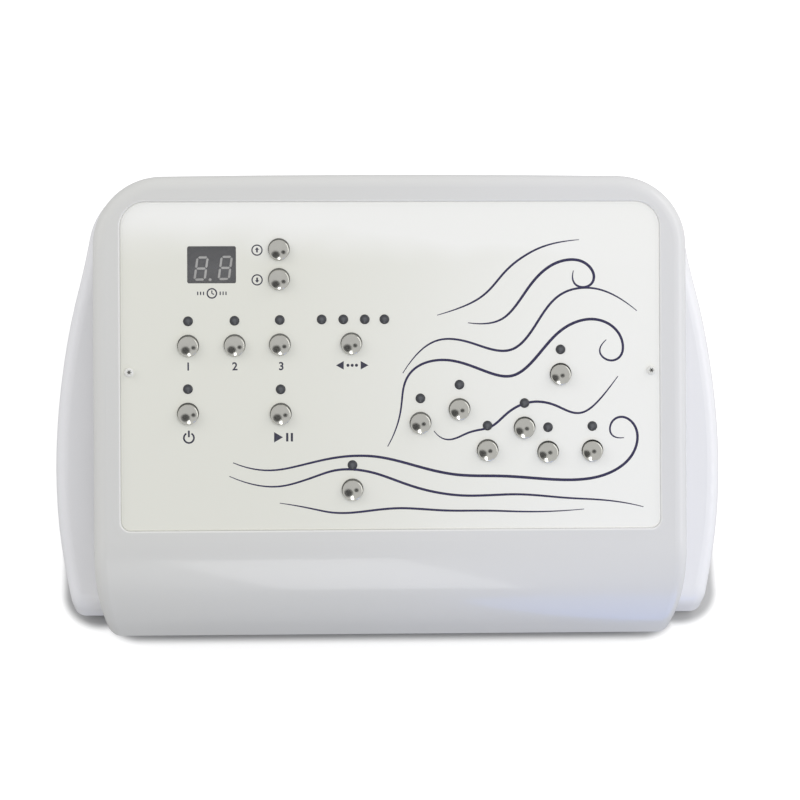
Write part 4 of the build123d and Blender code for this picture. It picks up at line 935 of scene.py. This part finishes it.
# ---------------- fasteners
@dataclass
class Solid:
    """One loose solid of a CAD node, as its corner points in the row frame."""

    points: list[Vector]

    @staticmethod
    def across(axis: Vector) -> tuple[Vector, Vector]:
        """Two directions square to an axis and to each other."""
        first = axis.orthogonal().normalized()
        return first, axis.cross(first)

    def span(self, axis: Vector) -> Pair:
        """Lowest and highest place along an axis."""
        places = [point.dot(axis) for point in self.points]
        return min(places), max(places)

    def middle(self, axis: Vector) -> Vector:
        """The middle of the solid's box that is square to an axis."""
        return sum((way * sum(self.span(way)) / 2 for way in (axis, *self.across(axis))), Vector())

    def radii(self, axis: Vector) -> list[Pair]:
        """Place along an axis and distance from the middle line of each corner."""
        first, second = self.across(axis)
        middle = self.middle(axis)
        return [(point.dot(axis), math.hypot((point - middle).dot(first), (point - middle).dot(second)))
                for point in self.points]

    def foot(self, axis: Vector) -> float:
        """Largest radius at the lower end along an axis."""
        low, _ = self.span(axis)
        return max(radius for place, radius in self.radii(axis) if place < low + END_DEPTH)

    def as_screw(self) -> tuple[tuple[float, ...], Matrix]:
        """Measures the solid as a screw.

        Returns:
            Its head's radius and height, its shank's radius and length in metres, and its place.
        """
        axes = [RIGHT, Vector((0, 1, 0)), Vector((0, 0, 1)), SLOPE.normal]
        axis = min(axes, key=lambda way: max(radius for _, radius in self.radii(way)))
        if self.foot(axis) > self.foot(-axis):
            axis = -axis
        low, high = self.span(axis)
        rings = self.radii(axis)
        head = max(radius for _, radius in rings)
        seat = min(place for place, radius in rings if radius > NEARLY * head)
        sizes = head, high - seat, self.foot(axis), seat - low
        size = tuple(round(value / MM, 2) * MM for value in sizes)
        foot = self.middle(axis) + axis * (seat - (low + high) / 2)
        return size, Matrix.Translation(foot) @ axis.to_track_quat("Z", "Y").to_matrix().to_4x4()


def loose_solids(node: str) -> list[Solid]:
    """Finds the loose solids of a CAD node.

    Args:
        node: The node's name.

    Returns:
        The solids, in the order of their first corners.
    """
    piece = frame["nodes"][node]
    mesh = bmesh.new()
    mesh.from_mesh(piece.data)
    bmesh.ops.remove_doubles(mesh, verts=mesh.verts, dist=TINY)
    mesh.verts.index_update()
    seen: set[int] = set()
    solids = []
    for start in mesh.verts:
        if start.index in seen:
            continue
        waiting, points = [start], []
        seen.add(start.index)
        while waiting:
            corner = waiting.pop()
            points.append(piece.matrix_world @ corner.co)
            for edge in corner.link_edges:
                other = edge.other_vert(corner)
                if other.index not in seen:
                    seen.add(other.index)
                    waiting.append(other)
        solids.append(Solid(points))
    mesh.free()
    return solids


class Recess(Enum):
    """Drive recesses of screw heads."""

    CROSS = 2
    STAR = 3


@dataclass
class ScrewSet:
    """The screws of one node: pan heads with a rounded rim, a driven recess and a pointed shank."""

    node: str
    recess: Recess = Recess.CROSS
    finish: str = "steel"
    point: float = 0.55
    taper: float = 0.6
    rim: float = 0.3
    slot_width: float = 0.22
    slot_length: float = 0.62
    slot_depth: float = 0.62
    slot_foot: Pair = (0.45, 0.7)
    spare: float = 0.1
    roll: float = 80.0
    rings: int = 6
    sides: int = 24
    crease: float = 40.0
    # Reach and height of the recess's darker core: painted shade.
    recess_reach: float = 0.75
    recess_top: float = 0.6

    def build(self) -> None:
        """Models one screw of each size and sets copies in the places of the node's solids."""
        masters: dict[tuple[float, ...], Piece] = {}
        copies = []
        for solid in loose_solids(self.node):
            size, matrix = solid.as_screw()
            if size not in masters:
                masters[size] = self.model(*size)
            copies.append(copied(masters[size], f"screw_{len(copies)}", matrix))
        for master in masters.values():
            bpy.data.objects.remove(master)
        whole = joined(self.node + "_driven", copies)
        coat(whole, self.finish)
        finish_piece(whole, ROOT, "steel", self.node)

    def model(self, head: float, height: float, shank: float, length: float) -> Piece:
        """Turns a screw with its head's underside on the ground plane, and cuts its recess.

        Args:
            head: The head's radius in metres.
            height: Its height.
            shank: The shank's radius.
            length: Its length.

        Returns:
            The screw.
        """
        rings = [(shank * self.point, -length), (shank, -length + shank * self.taper), (shank, 0), (head, 0),
                 (head, height * self.rim)]
        bend = head / 2, height * (1 - self.rim) / math.sin(math.radians(self.roll))
        rings += rolled((head / 2, height * self.rim), bend, self.roll, self.rings)
        rings.append((0, height))
        piece = turned("screw_master", rings, self.sides, self.crease)
        for arm in range(self.recess.value):
            self.cut_arm(piece, head, height, math.pi * arm / self.recess.value)
        # Painted shade: the recess in the head is marked as the dark core.
        mark(piece, "core", lambda place: float(
            math.hypot(place.x, place.y) < self.recess_reach * head
            and 0 < place.z < self.recess_top * height))
        return piece

    def cut_arm(self, piece: Piece, head: float, height: float, turn: float) -> None:
        """Cuts one tapering slot across the head.

        Args:
            piece: The screw.
            head: The head's radius.
            height: The head's height.
            turn: Direction of the slot in radians.
        """
        clear()
        depth = height * self.slot_depth
        size = 2 * head * self.slot_length, head * self.slot_width, depth + 2 * self.spare * MM
        middle = height - depth / 2 + self.spare * MM
        bpy.ops.mesh.primitive_cube_add(size=1, location=(0, 0, middle), scale=size)
        tool = shape_in_place()
        edit("FACE")
        pick_faces(tool, lambda face: face.normal.z < -NEARLY)
        bpy.ops.transform.resize(value=(*self.slot_foot, 1))
        bpy.ops.object.mode_set(mode="OBJECT")
        tool.data.transform(Matrix.Rotation(turn, 4, "Z"))
        cut(piece, tool)


# ---------------- display
@dataclass
class NumberDisplay:
    """Two slanting seven-segment numbers, unlit, behind the smoked window."""

    depth: float = -4.2
    slant: float = math.radians(8)
    stroke: float = 1.15
    gap: float = 0.3
    height: float = 12.6
    width: float = 6.4
    plate: float = 0.06
    tip: float = 0.48
    centres: tuple[Place, ...] = ((-98.2, 50.7), (-85.7, 51.0))
    point: Place = (-93.6, 44.9)
    point_radius: float = 0.75
    point_edge: float = 0.8
    point_sides: int = 24

    def segment(self, length: float) -> Piece:
        """One segment: a flat bar with both ends cut to a point.

        Args:
            length: Its length in millimetres.

        Returns:
            The bar, lying along X on the origin.
        """
        clear()
        bpy.ops.mesh.primitive_cube_add(size=1, scale=(length * MM, self.stroke * MM, self.plate * MM))
        bar = shape_in_place()
        edit("EDGE")
        mesh = bmesh.from_edit_mesh(bar.data)
        for edge in mesh.edges:
            first, second = edge.verts
            edge.select_set(abs(first.co.z - second.co.z) > self.plate * MM / 2)
        bmesh.update_edit_mesh(bar.data)
        bpy.ops.mesh.bevel(offset=self.stroke * MM * self.tip, segments=1, affect="EDGES")
        bpy.ops.object.mode_set(mode="OBJECT")
        return bar

    def build(self) -> None:
        """Models the segments and sets two numbers and a point on the module's face."""
        across = self.segment(self.width - self.stroke - 2 * self.gap)
        upright = self.segment(self.height / 2 - self.stroke / 2 - 2 * self.gap)
        half_width = (self.width - self.stroke) / 2
        half_height = (self.height - self.stroke) / 2
        lean = Matrix(((1, math.tan(self.slant), 0, 0), (0, 1, 0, 0), (0, 0, 1, 0), (0, 0, 0, 1)))
        copies = []
        for u, v in self.centres:
            here = SLOPE.frame(u, v, self.depth + self.plate / 2) @ lean
            for row in (-1, 0, 1):
                spot = Matrix.Translation((0, row * half_height * MM, 0))
                copies.append(copied(across, "bar", here @ spot))
            for side in (-1, 1):
                for row in (-0.5, 0.5):
                    spot = Matrix.Translation((side * half_width * MM, row * half_height * MM, 0))
                    turn = Matrix.Rotation(math.pi / 2, 4, "Z")
                    copies.append(copied(upright, "bar", here @ spot @ turn))
        radius, plate = self.point_radius * MM, self.plate * MM
        dot = turned("dot", [(radius, 0), (radius, plate * self.point_edge), (0, plate)], self.point_sides)
        copies.append(copied(dot, "dot", SLOPE.frame(*self.point, self.depth)))
        for master in (across, upright, dot):
            bpy.data.objects.remove(master)
        whole = joined("display_segments", copies)
        coat(whole, SEGMENT_GREY.slot)
        finish_piece(whole, ROOT, None)


# ---------------- print
@dataclass
class Press:
    """Prints thin marks on a flat face; marks are drawn in millimetres on the ground plane."""

    ink: PrintInk
    film: float = 0.03
    cap_height: float = 0.69
    swell: float = 0.12
    letter_steps: int = 5
    ends: float = 0.3
    belly: float = 0.6
    line_steps: int = 10
    edge_steps: int = 2
    arc_step: float = 9.0
    least_steps: int = 8
    marks: list[Piece] = field(default_factory=list)

    def stroke(self, points: list[Place], width: float, taper: bool = False, closed: bool = False) -> None:
        """Draws a line with round ends.

        Args:
            points: Its points; a tapering line is a smooth curve that they steer.
            width: Its width in millimetres.
            taper: Whether it is smooth and thins towards both ends.
            closed: Whether it returns to its start.
        """
        data = bpy.data.curves.new("stroke", "CURVE")
        data.dimensions = "3D"
        data.resolution_u = self.line_steps
        data.bevel_depth = width / 2 * MM
        data.bevel_resolution = self.edge_steps
        data.use_fill_caps = True
        line = data.splines.new("NURBS" if taper else "POLY")
        line.points.add(len(points) - 1)
        for number, (point, (x, y)) in enumerate(zip(line.points, points)):
            point.co = (x * MM, y * MM, 0, 1)
            belly = math.sin(math.pi * number / (len(points) - 1)) ** self.belly
            point.radius = self.ends + (1 - self.ends) * belly if taper else 1.0
        line.use_cyclic_u = closed
        if taper:
            line.order_u = 4
            line.use_endpoint_u = True
        piece = bpy.data.objects.new("stroke", data)
        bpy.context.scene.collection.objects.link(piece)
        take(piece)
        bpy.ops.object.convert(target="MESH")
        piece = bpy.context.object
        piece.data.transform(Matrix.Diagonal((1, 1, self.film / width, 1)))
        self.marks.append(piece)

    def arc(self, centre: Place, radius: float, width: float, start: float = 0, sweep: float = 360) -> None:
        """Draws part of a circle.

        Args:
            centre: Its centre.
            radius: Its radius.
            width: The line's width.
            start: Its start in degrees from X.
            sweep: Degrees that it covers.
        """
        count = max(self.least_steps, int(sweep / self.arc_step))
        closed = sweep >= 360
        turns = [math.radians(start + sweep * step / count) for step in range(count + (not closed))]
        u, v = centre
        points = [(u + radius * math.cos(turn), v + radius * math.sin(turn)) for turn in turns]
        self.stroke(points, width, closed=closed)

    def patch(self, corners: list[Place]) -> None:
        """Prints a filled shape.

        Args:
            corners: Its corners in order, counter-clockwise.
        """
        clear()
        bpy.ops.mesh.primitive_circle_add(vertices=len(corners), radius=MM, fill_type="NGON")
        piece = bpy.context.object
        for corner, (x, y) in zip(piece.data.vertices, corners):
            corner.co = (x * MM, y * MM, -self.film / 2 * MM)
        bpy.ops.object.mode_set(mode="EDIT")
        bpy.ops.mesh.select_all(action="SELECT")
        bpy.ops.mesh.extrude_region_move(TRANSFORM_OT_translate={"value": (0, 0, self.film * MM)})
        bpy.ops.mesh.select_all(action="SELECT")
        bpy.ops.mesh.normals_make_consistent(inside=False)
        bpy.ops.object.mode_set(mode="OBJECT")
        self.marks.append(piece)

    def number(self, text: str, centre: Place, height: float) -> None:
        """Prints a plain number.

        Args:
            text: Its digits.
            centre: The middle of the number.
            height: Height of a digit in millimetres.
        """
        clear()
        bpy.ops.object.text_add()
        piece = bpy.context.object
        piece.data.body = text
        piece.data.align_x, piece.data.align_y = "CENTER", "CENTER"
        piece.data.size = height * MM / self.cap_height
        piece.data.offset = self.swell * MM
        piece.data.resolution_u = self.letter_steps
        piece.data.extrude = self.film / 2 * MM
        bpy.ops.object.convert(target="MESH")
        piece = bpy.context.object
        piece.data.transform(Matrix.Translation((centre[0] * MM, centre[1] * MM, 0)))
        self.marks.append(piece)

    def run(self, name: str, matrix: Matrix) -> None:
        """Joins the marks into one print and sets it in place.

        Args:
            name: The print's name.
            matrix: Its place.
        """
        whole = joined(name, self.marks)
        whole.data.transform(matrix)
        coat(whole, self.ink.slot)
        finish_piece(whole, ROOT, None)


@dataclass
class PanelPrint:
    """Symbols and numbers by the controls, and the line drawing of rising air on the panel."""

    lift: float = 0.01
    weight: float = 1.3
    timer_column: float = -69.2
    timer_rows: Pair = (60.0, 44.6)
    clock_at: Place = (-92.6, 37.7)
    size_columns: tuple[float, ...] = (-105.0, -80.9, -56.9)
    size_row: float = -0.3
    select_at: Place = (-20.2, 0.2)
    power_at: Place = (-104.8, -37.0)
    start_at: Place = (-60.8, -36.9)

    def symbols(self) -> None:
        """Prints the symbols beside the controls."""
        press = Press(INK)
        u = self.timer_column
        for v, way in zip(self.timer_rows, (1, -1)):
            press.arc((u, v), 2.6, 0.65)
            press.stroke([(u, v - 1.2 * way), (u, v + 0.5 * way)], 0.9)
            tip = [(u - 1.1, v + 0.2 * way), (u + 1.1, v + 0.2 * way), (u, v + 1.5 * way)]
            press.patch(tip[::way])
        u, v = self.clock_at
        press.arc((u, v), 2.4, 0.7)
        press.stroke([(u, v + 1.5), (u, v), (u + 1.1, v - 0.6)], 0.6)
        for reach in (4.3, 5.8, 7.3):
            for tick in (u - reach, u + reach):
                press.stroke([(tick, v - 0.9), (tick, v + 0.9)], 0.6)
        for number, u in enumerate(self.size_columns, 1):
            press.number(str(number), (u, self.size_row), 4.0)
        u, v = self.select_at
        for way in (-1, 1):
            press.patch([(u + 8.4 * way, v), (u + 4.4 * way, v + 2.2 * way), (u + 4.4 * way, v - 2.2 * way)])
            press.arc((u + 2.2 * way, v), 0.4, 0.8)
        press.arc((u, v), 0.4, 0.8)
        u, v = self.power_at
        press.arc((u, v), 2.6, 0.9, 120, 300)
        press.stroke([(u, v + 0.4), (u, v + 3.8)], 0.95)
        u, v = self.start_at
        press.patch([(u, v - 2.7), (u + 4.6, v), (u, v + 2.7)])
        for bar in (6.8, 9.2):
            press.stroke([(u + bar, v - 2.2), (u + bar, v + 2.2)], 1.15)
        press.run("panel_symbols", SLOPE.frame(0, 0, self.lift - PANEL_DEPTH))

    def drawing(self) -> None:
        """Prints the drawing: long streams of air that rise across the panel and curl at their ends."""
        press = Press(LINE_INK)
        streams: tuple[tuple[float, list[Place]], ...] = (
            (1.15, [(-82, -50), (-68, -56), (-48, -52), (-30, -47), (-8, -46), (12, -52), (34, -58),
                    (58, -57), (84, -60), (108, -60), (126, -50), (130, -34), (121, -25), (112, -30),
                    (114, -39), (121, -38)]),
            (1.0, [(-84, -57), (-66, -65), (-46, -60), (-34, -55), (-24, -53), (-8, -55), (12, -64),
                   (38, -69), (66, -66), (92, -70), (116, -70), (131, -74)]),
            (0.9, [(-58, -71), (-44, -73), (-32, -77), (-16, -76), (4, -73), (28, -76), (52, -75), (78, -77),
                   (100, -75)]),
            (1.15, [(-2, -42), (6, -28), (4, -10), (14, 2), (32, 4), (50, -4), (64, -8), (76, 4), (88, 20),
                    (106, 26), (120, 18), (122, 4), (112, 0), (106, 8), (112, 13)]),
            (1.0, [(6, -4), (16, 12), (32, 16), (50, 8), (64, 6), (74, 18), (84, 36), (100, 42), (116, 38),
                   (128, 28)]),
            (1.15, [(40, 22), (54, 20), (64, 28), (72, 42), (84, 54), (100, 56), (108, 46), (102, 38),
                    (93, 42), (95, 49)]),
            (0.9, [(24, 26), (38, 30), (50, 36), (58, 48), (70, 58), (84, 64), (98, 65)]),
            (1.0, [(22, -34), (28, -42), (40, -33), (52, -34), (60, -24), (72, -18), (86, -20), (100, -30),
                   (112, -14), (118, -6)]),
        )
        for width, points in streams:
            press.stroke(points, width * self.weight, taper=True)
        press.run("panel_drawing", SLOPE.frame(0, 0, self.lift - PANEL_DEPTH))


@dataclass
class RearPrint:
    """Numbers over the air outlets."""

    outlets: tuple[float, ...] = (47, 33, 19, 5, -9, -23, -37, -51)
    row: float = 60.4
    height: float = 4.2
    lift: float = 0.01

    def build(self) -> None:
        """Prints the numbers on the plate above the outlets."""
        plate_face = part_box("rear_panel")[1].y
        press = Press(INK)
        for number, x in enumerate(self.outlets, 1):
            press.number(str(number), (-x, self.row), self.height)
        stand = Matrix.Translation((0, plate_face + self.lift * MM, 0))
        turn = Matrix(((-1, 0, 0, 0), (0, 0, 1, 0), (0, 1, 0, 0), (0, 0, 0, 1)))
        press.run("outlet_numbers", stand @ turn)


# ---------------- studio
@dataclass(frozen=True)
class Softbox:
    """An area lamp: where it stands, what it faces, its size in metres and its power in watts."""

    name: str
    stand: Triple
    aim: Triple
    size: Pair
    power: float
    mirrored: bool = True
    lit: bool = True
    tint: Colour = WHITE
    roll: float = 0.0

    def set_up(self) -> None:
        """Adds the lamp."""
        data = bpy.data.lights.new(self.name, "AREA")
        data.shape = "RECTANGLE" if self.lit else "ELLIPSE"
        data.size, data.size_y = self.size
        data.energy = self.power
        data.color = self.tint
        lamp = bpy.data.objects.new(self.name, data)
        turn = (Vector(self.aim) - Vector(self.stand)).to_track_quat("-Z", "Y").to_matrix().to_4x4()
        spin = Matrix.Rotation(math.radians(self.roll), 4, "Z")
        lamp.matrix_world = Matrix.Translation(self.stand) @ turn @ spin
        lamp.visible_camera = False
        lamp.visible_glossy = self.mirrored
        lamp.visible_diffuse = self.lit
        bpy.context.scene.collection.objects.link(lamp)


@dataclass(frozen=True)
class MirrorCard:
    """A dark card that shows only in polished metal, as the studio's dark side does."""

    name: str
    off_axis: Pair
    distance: float
    size: Pair
    grey: float
    edge: Pair = (0.25, 0.5)
    cloud: float = 0.05
    lighter: float = 1.3
    roughness: float = 0.9

    def set_up(self) -> None:
        """Stands the card where it mirrors in the buttons, a number of degrees across and up from square."""
        clear()
        bpy.ops.mesh.primitive_plane_add(size=1)
        card = bpy.context.object
        card.name = self.name
        across, upward = (math.radians(angle) for angle in self.off_axis)
        card.matrix_world = (
            SLOPE.frame(0, 0) @ Matrix.Rotation(across, 4, "Y") @ Matrix.Rotation(-upward, 4, "X")
            @ Matrix.Translation((0, 0, self.distance)) @ Matrix.Diagonal((*self.size, 1, 1)))
        recipe = Recipe(self.name)
        dark = (self.grey,) * 3
        felt = recipe.blend(dark, shaded(dark, self.lighter), recipe.noise(self.cloud))
        away = recipe.node("ShaderNodeVectorMath", {"operation": "LENGTH"}, {0: recipe.spot()}, "Value")
        recipe.feed(base_color=felt, roughness=self.roughness, alpha=1 - away.smooth_between(*self.edge))
        card.data.materials.append(recipe.material)
        card.visible_camera = False
        card.visible_diffuse = False
        card.visible_shadow = False
        card.visible_transmission = False


@dataclass
class Studio:
    """The plain studio: floor, backdrop, lamps and camera."""

    distance: float = 1.4
    field_width: float = 0.4148
    aim_u: float = 4.5
    aim_v: float = -17.9
    yaw: float = 2.2
    roll: float = -0.27
    sensor: float = 36.0
    clip: Pair = (0.05, 50.0)
    floor_half: float = 6.0
    floor_tints: tuple[Colour, Colour] = (shown(196, 196, 196), shown(200, 200, 200))
    floor_cloud: float = 0.3
    floor_roughness: float = 0.9
    floor_glow: float = 0.65
    # Outline boxes round which the floor glow is left out, and how that fades: painted shadow beside the
    # rendered one.
    footprint: tuple[Place, Place] = ((0.151, 0.1068), (0.1725, 0.0986))
    round: float = 0.017
    contact: Pair = (0.0, 0.0062)
    shadow_shift: float = 0.0015
    ambient: float = 0.55
    lamps: tuple[Softbox, ...] = (
        Softbox("key_softbox", (0.9, -0.6, 1.7), (0, 0, 0.08), (1.2, 1.2), 7.8, mirrored=False),
        Softbox("right_strip", (1.15, 0.08, 0.75), (0, 0, 0.05), (0.45, 1.5), 2.8, roll=-60),
        Softbox("left_strip", (-1.0, 0.3, 0.7), (-0.05, 0, 0.08), (0.45, 1.0), 4.0, mirrored=False, roll=60),
        Softbox("front_softbox", (0.01, -1.9, 0.6), (0.01, 0, 0.08), (0.3, 1.4), 3.9, roll=7),
        Softbox("rim_strip", (1.0, 0.75, 0.65), (0.1, 0.0, 0.05), (0.6, 0.6), 3.8, mirrored=False),
        Softbox("blue_softbox", (0.3, -0.6, 0.1), (0.05, -0.1, 0.03), (0.3, 0.12), 0.22, mirrored=False,
                tint=(0.15, 0.35, 1.0)),
        Softbox("blue_sheet", (0.14, -0.21, 0.002), (0.14, -0.21, 1), (0.19, 0.17), 0.1, lit=False,
                tint=(0.04, 0.25, 1.0)),
    )
    cards: tuple[MirrorCard, ...] = (
        MirrorCard("dark_card", (-17, -14), 1.2, (1.0, 0.9), 0.1),
        MirrorCard("small_card", (16, -3), 1.2, (0.5, 0.44), 0.08),
    )

    def build(self) -> None:
        """Sets up the whole studio."""
        self.lay_floor()
        self.light_room()
        for fitting in (*self.lamps, *self.cards):
            fitting.set_up()
        self.place_camera()

    def lay_floor(self) -> None:
        """Adds a pale floor that shows the object's rendered shadow; a glow seen only by the camera whitens
        it away from a given outline of the object, so a band round that outline stays darker: painted shadow
        over the rendered one.
        """
        clear()
        bpy.ops.mesh.primitive_plane_add(size=2 * self.floor_half, location=(0, 0, 0))
        floor = bpy.context.object
        floor.name = "studio_floor"
        recipe = Recipe("floor_paper")
        paper = recipe.blend(*self.floor_tints, recipe.noise(self.floor_cloud))
        across = recipe.along(RIGHT) - self.shadow_shift
        forward = recipe.along(Vector((0, 1, 0)))
        # Painted shadow: no glow inside and near the outline boxes, so the floor is darker round the object.
        parts = [recipe.beyond(across, forward, half, self.round) for half in self.footprint]
        away = across.work("MINIMUM", *parts)
        seen = recipe.node("ShaderNodeLightPath", output="Is Camera Ray")
        glow = seen * away.smooth_between(*self.contact)
        recipe.feed(base_color=paper, roughness=self.floor_roughness,
                    emission_color=recipe.blend(BLACK, WHITE, glow), emission_strength=self.floor_glow)
        floor.data.materials.append(recipe.material)

    def light_room(self) -> None:
        """Lights the room evenly and shows white behind the object."""
        world = bpy.data.worlds.new("studio_room")
        bpy.context.scene.world = world
        world.use_nodes = True
        tree = world.node_tree
        tree.nodes.clear()
        path = tree.nodes.new("ShaderNodeLightPath")
        seen = Signal(tree, path.outputs["Is Camera Ray"]) + Signal(tree, path.outputs["Is Transmission Ray"])
        strength = self.ambient + (1.0 - self.ambient) * seen.clipped()
        light = tree.nodes.new("ShaderNodeBackground")
        connect(tree, WHITE, light.inputs["Color"])
        connect(tree, strength, light.inputs["Strength"])
        out = tree.nodes.new("ShaderNodeOutputWorld")
        tree.links.new(light.outputs[0], out.inputs["Surface"])

    def place_camera(self) -> None:
        """Stands the camera before the sloping face, a little to the left."""
        data = bpy.data.cameras.new("camera")
        data.sensor_width = self.sensor
        data.lens = self.sensor * self.distance / self.field_width
        data.clip_start, data.clip_end = self.clip
        camera = bpy.data.objects.new("camera", data)
        bpy.context.scene.collection.objects.link(camera)
        target = SLOPE.frame(self.aim_u, self.aim_v).translation
        up_slope = SLOPE.upward
        back = Matrix.Rotation(math.radians(-self.yaw), 3, up_slope) @ SLOPE.normal
        axes = Matrix((up_slope.cross(back), up_slope, back)).transposed().to_4x4()
        camera.matrix_world = Matrix.Translation(target + back * self.distance) @ axes @ Matrix.Rotation(
            math.radians(self.roll), 4, "Z")
        bpy.context.scene.camera = camera


def main() -> None:
    """Builds the looks in order."""
    logging.basicConfig(level=logging.INFO, format="%(name)s: %(message)s")
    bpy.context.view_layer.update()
    for finish in (*FINISHES, INK, LINE_INK, LACQUER_WITH_RECESS_SHADE, SEGMENT_GREY):
        finish.mix()
    for part in frame["record"]["subparts"]:
        coat(frame["nodes"][part["node"]], part["material_slot"])
    PushButtons().build()
    IndicatorLamps().build()
    for node in sorted(frame["nodes"]):
        if node == "panel_screws":
            ScrewSet(node, Recess.STAR, LACQUER_WITH_RECESS_SHADE.slot).build()
        elif node.endswith("_screws"):
            ScrewSet(node).build()
    NumberDisplay().build()
    PanelPrint().symbols()
    PanelPrint().drawing()
    RearPrint().build()
    Studio().build()
    bpy.context.scene.view_settings.view_transform = "Standard"


if __name__ == "__main__":
    main()
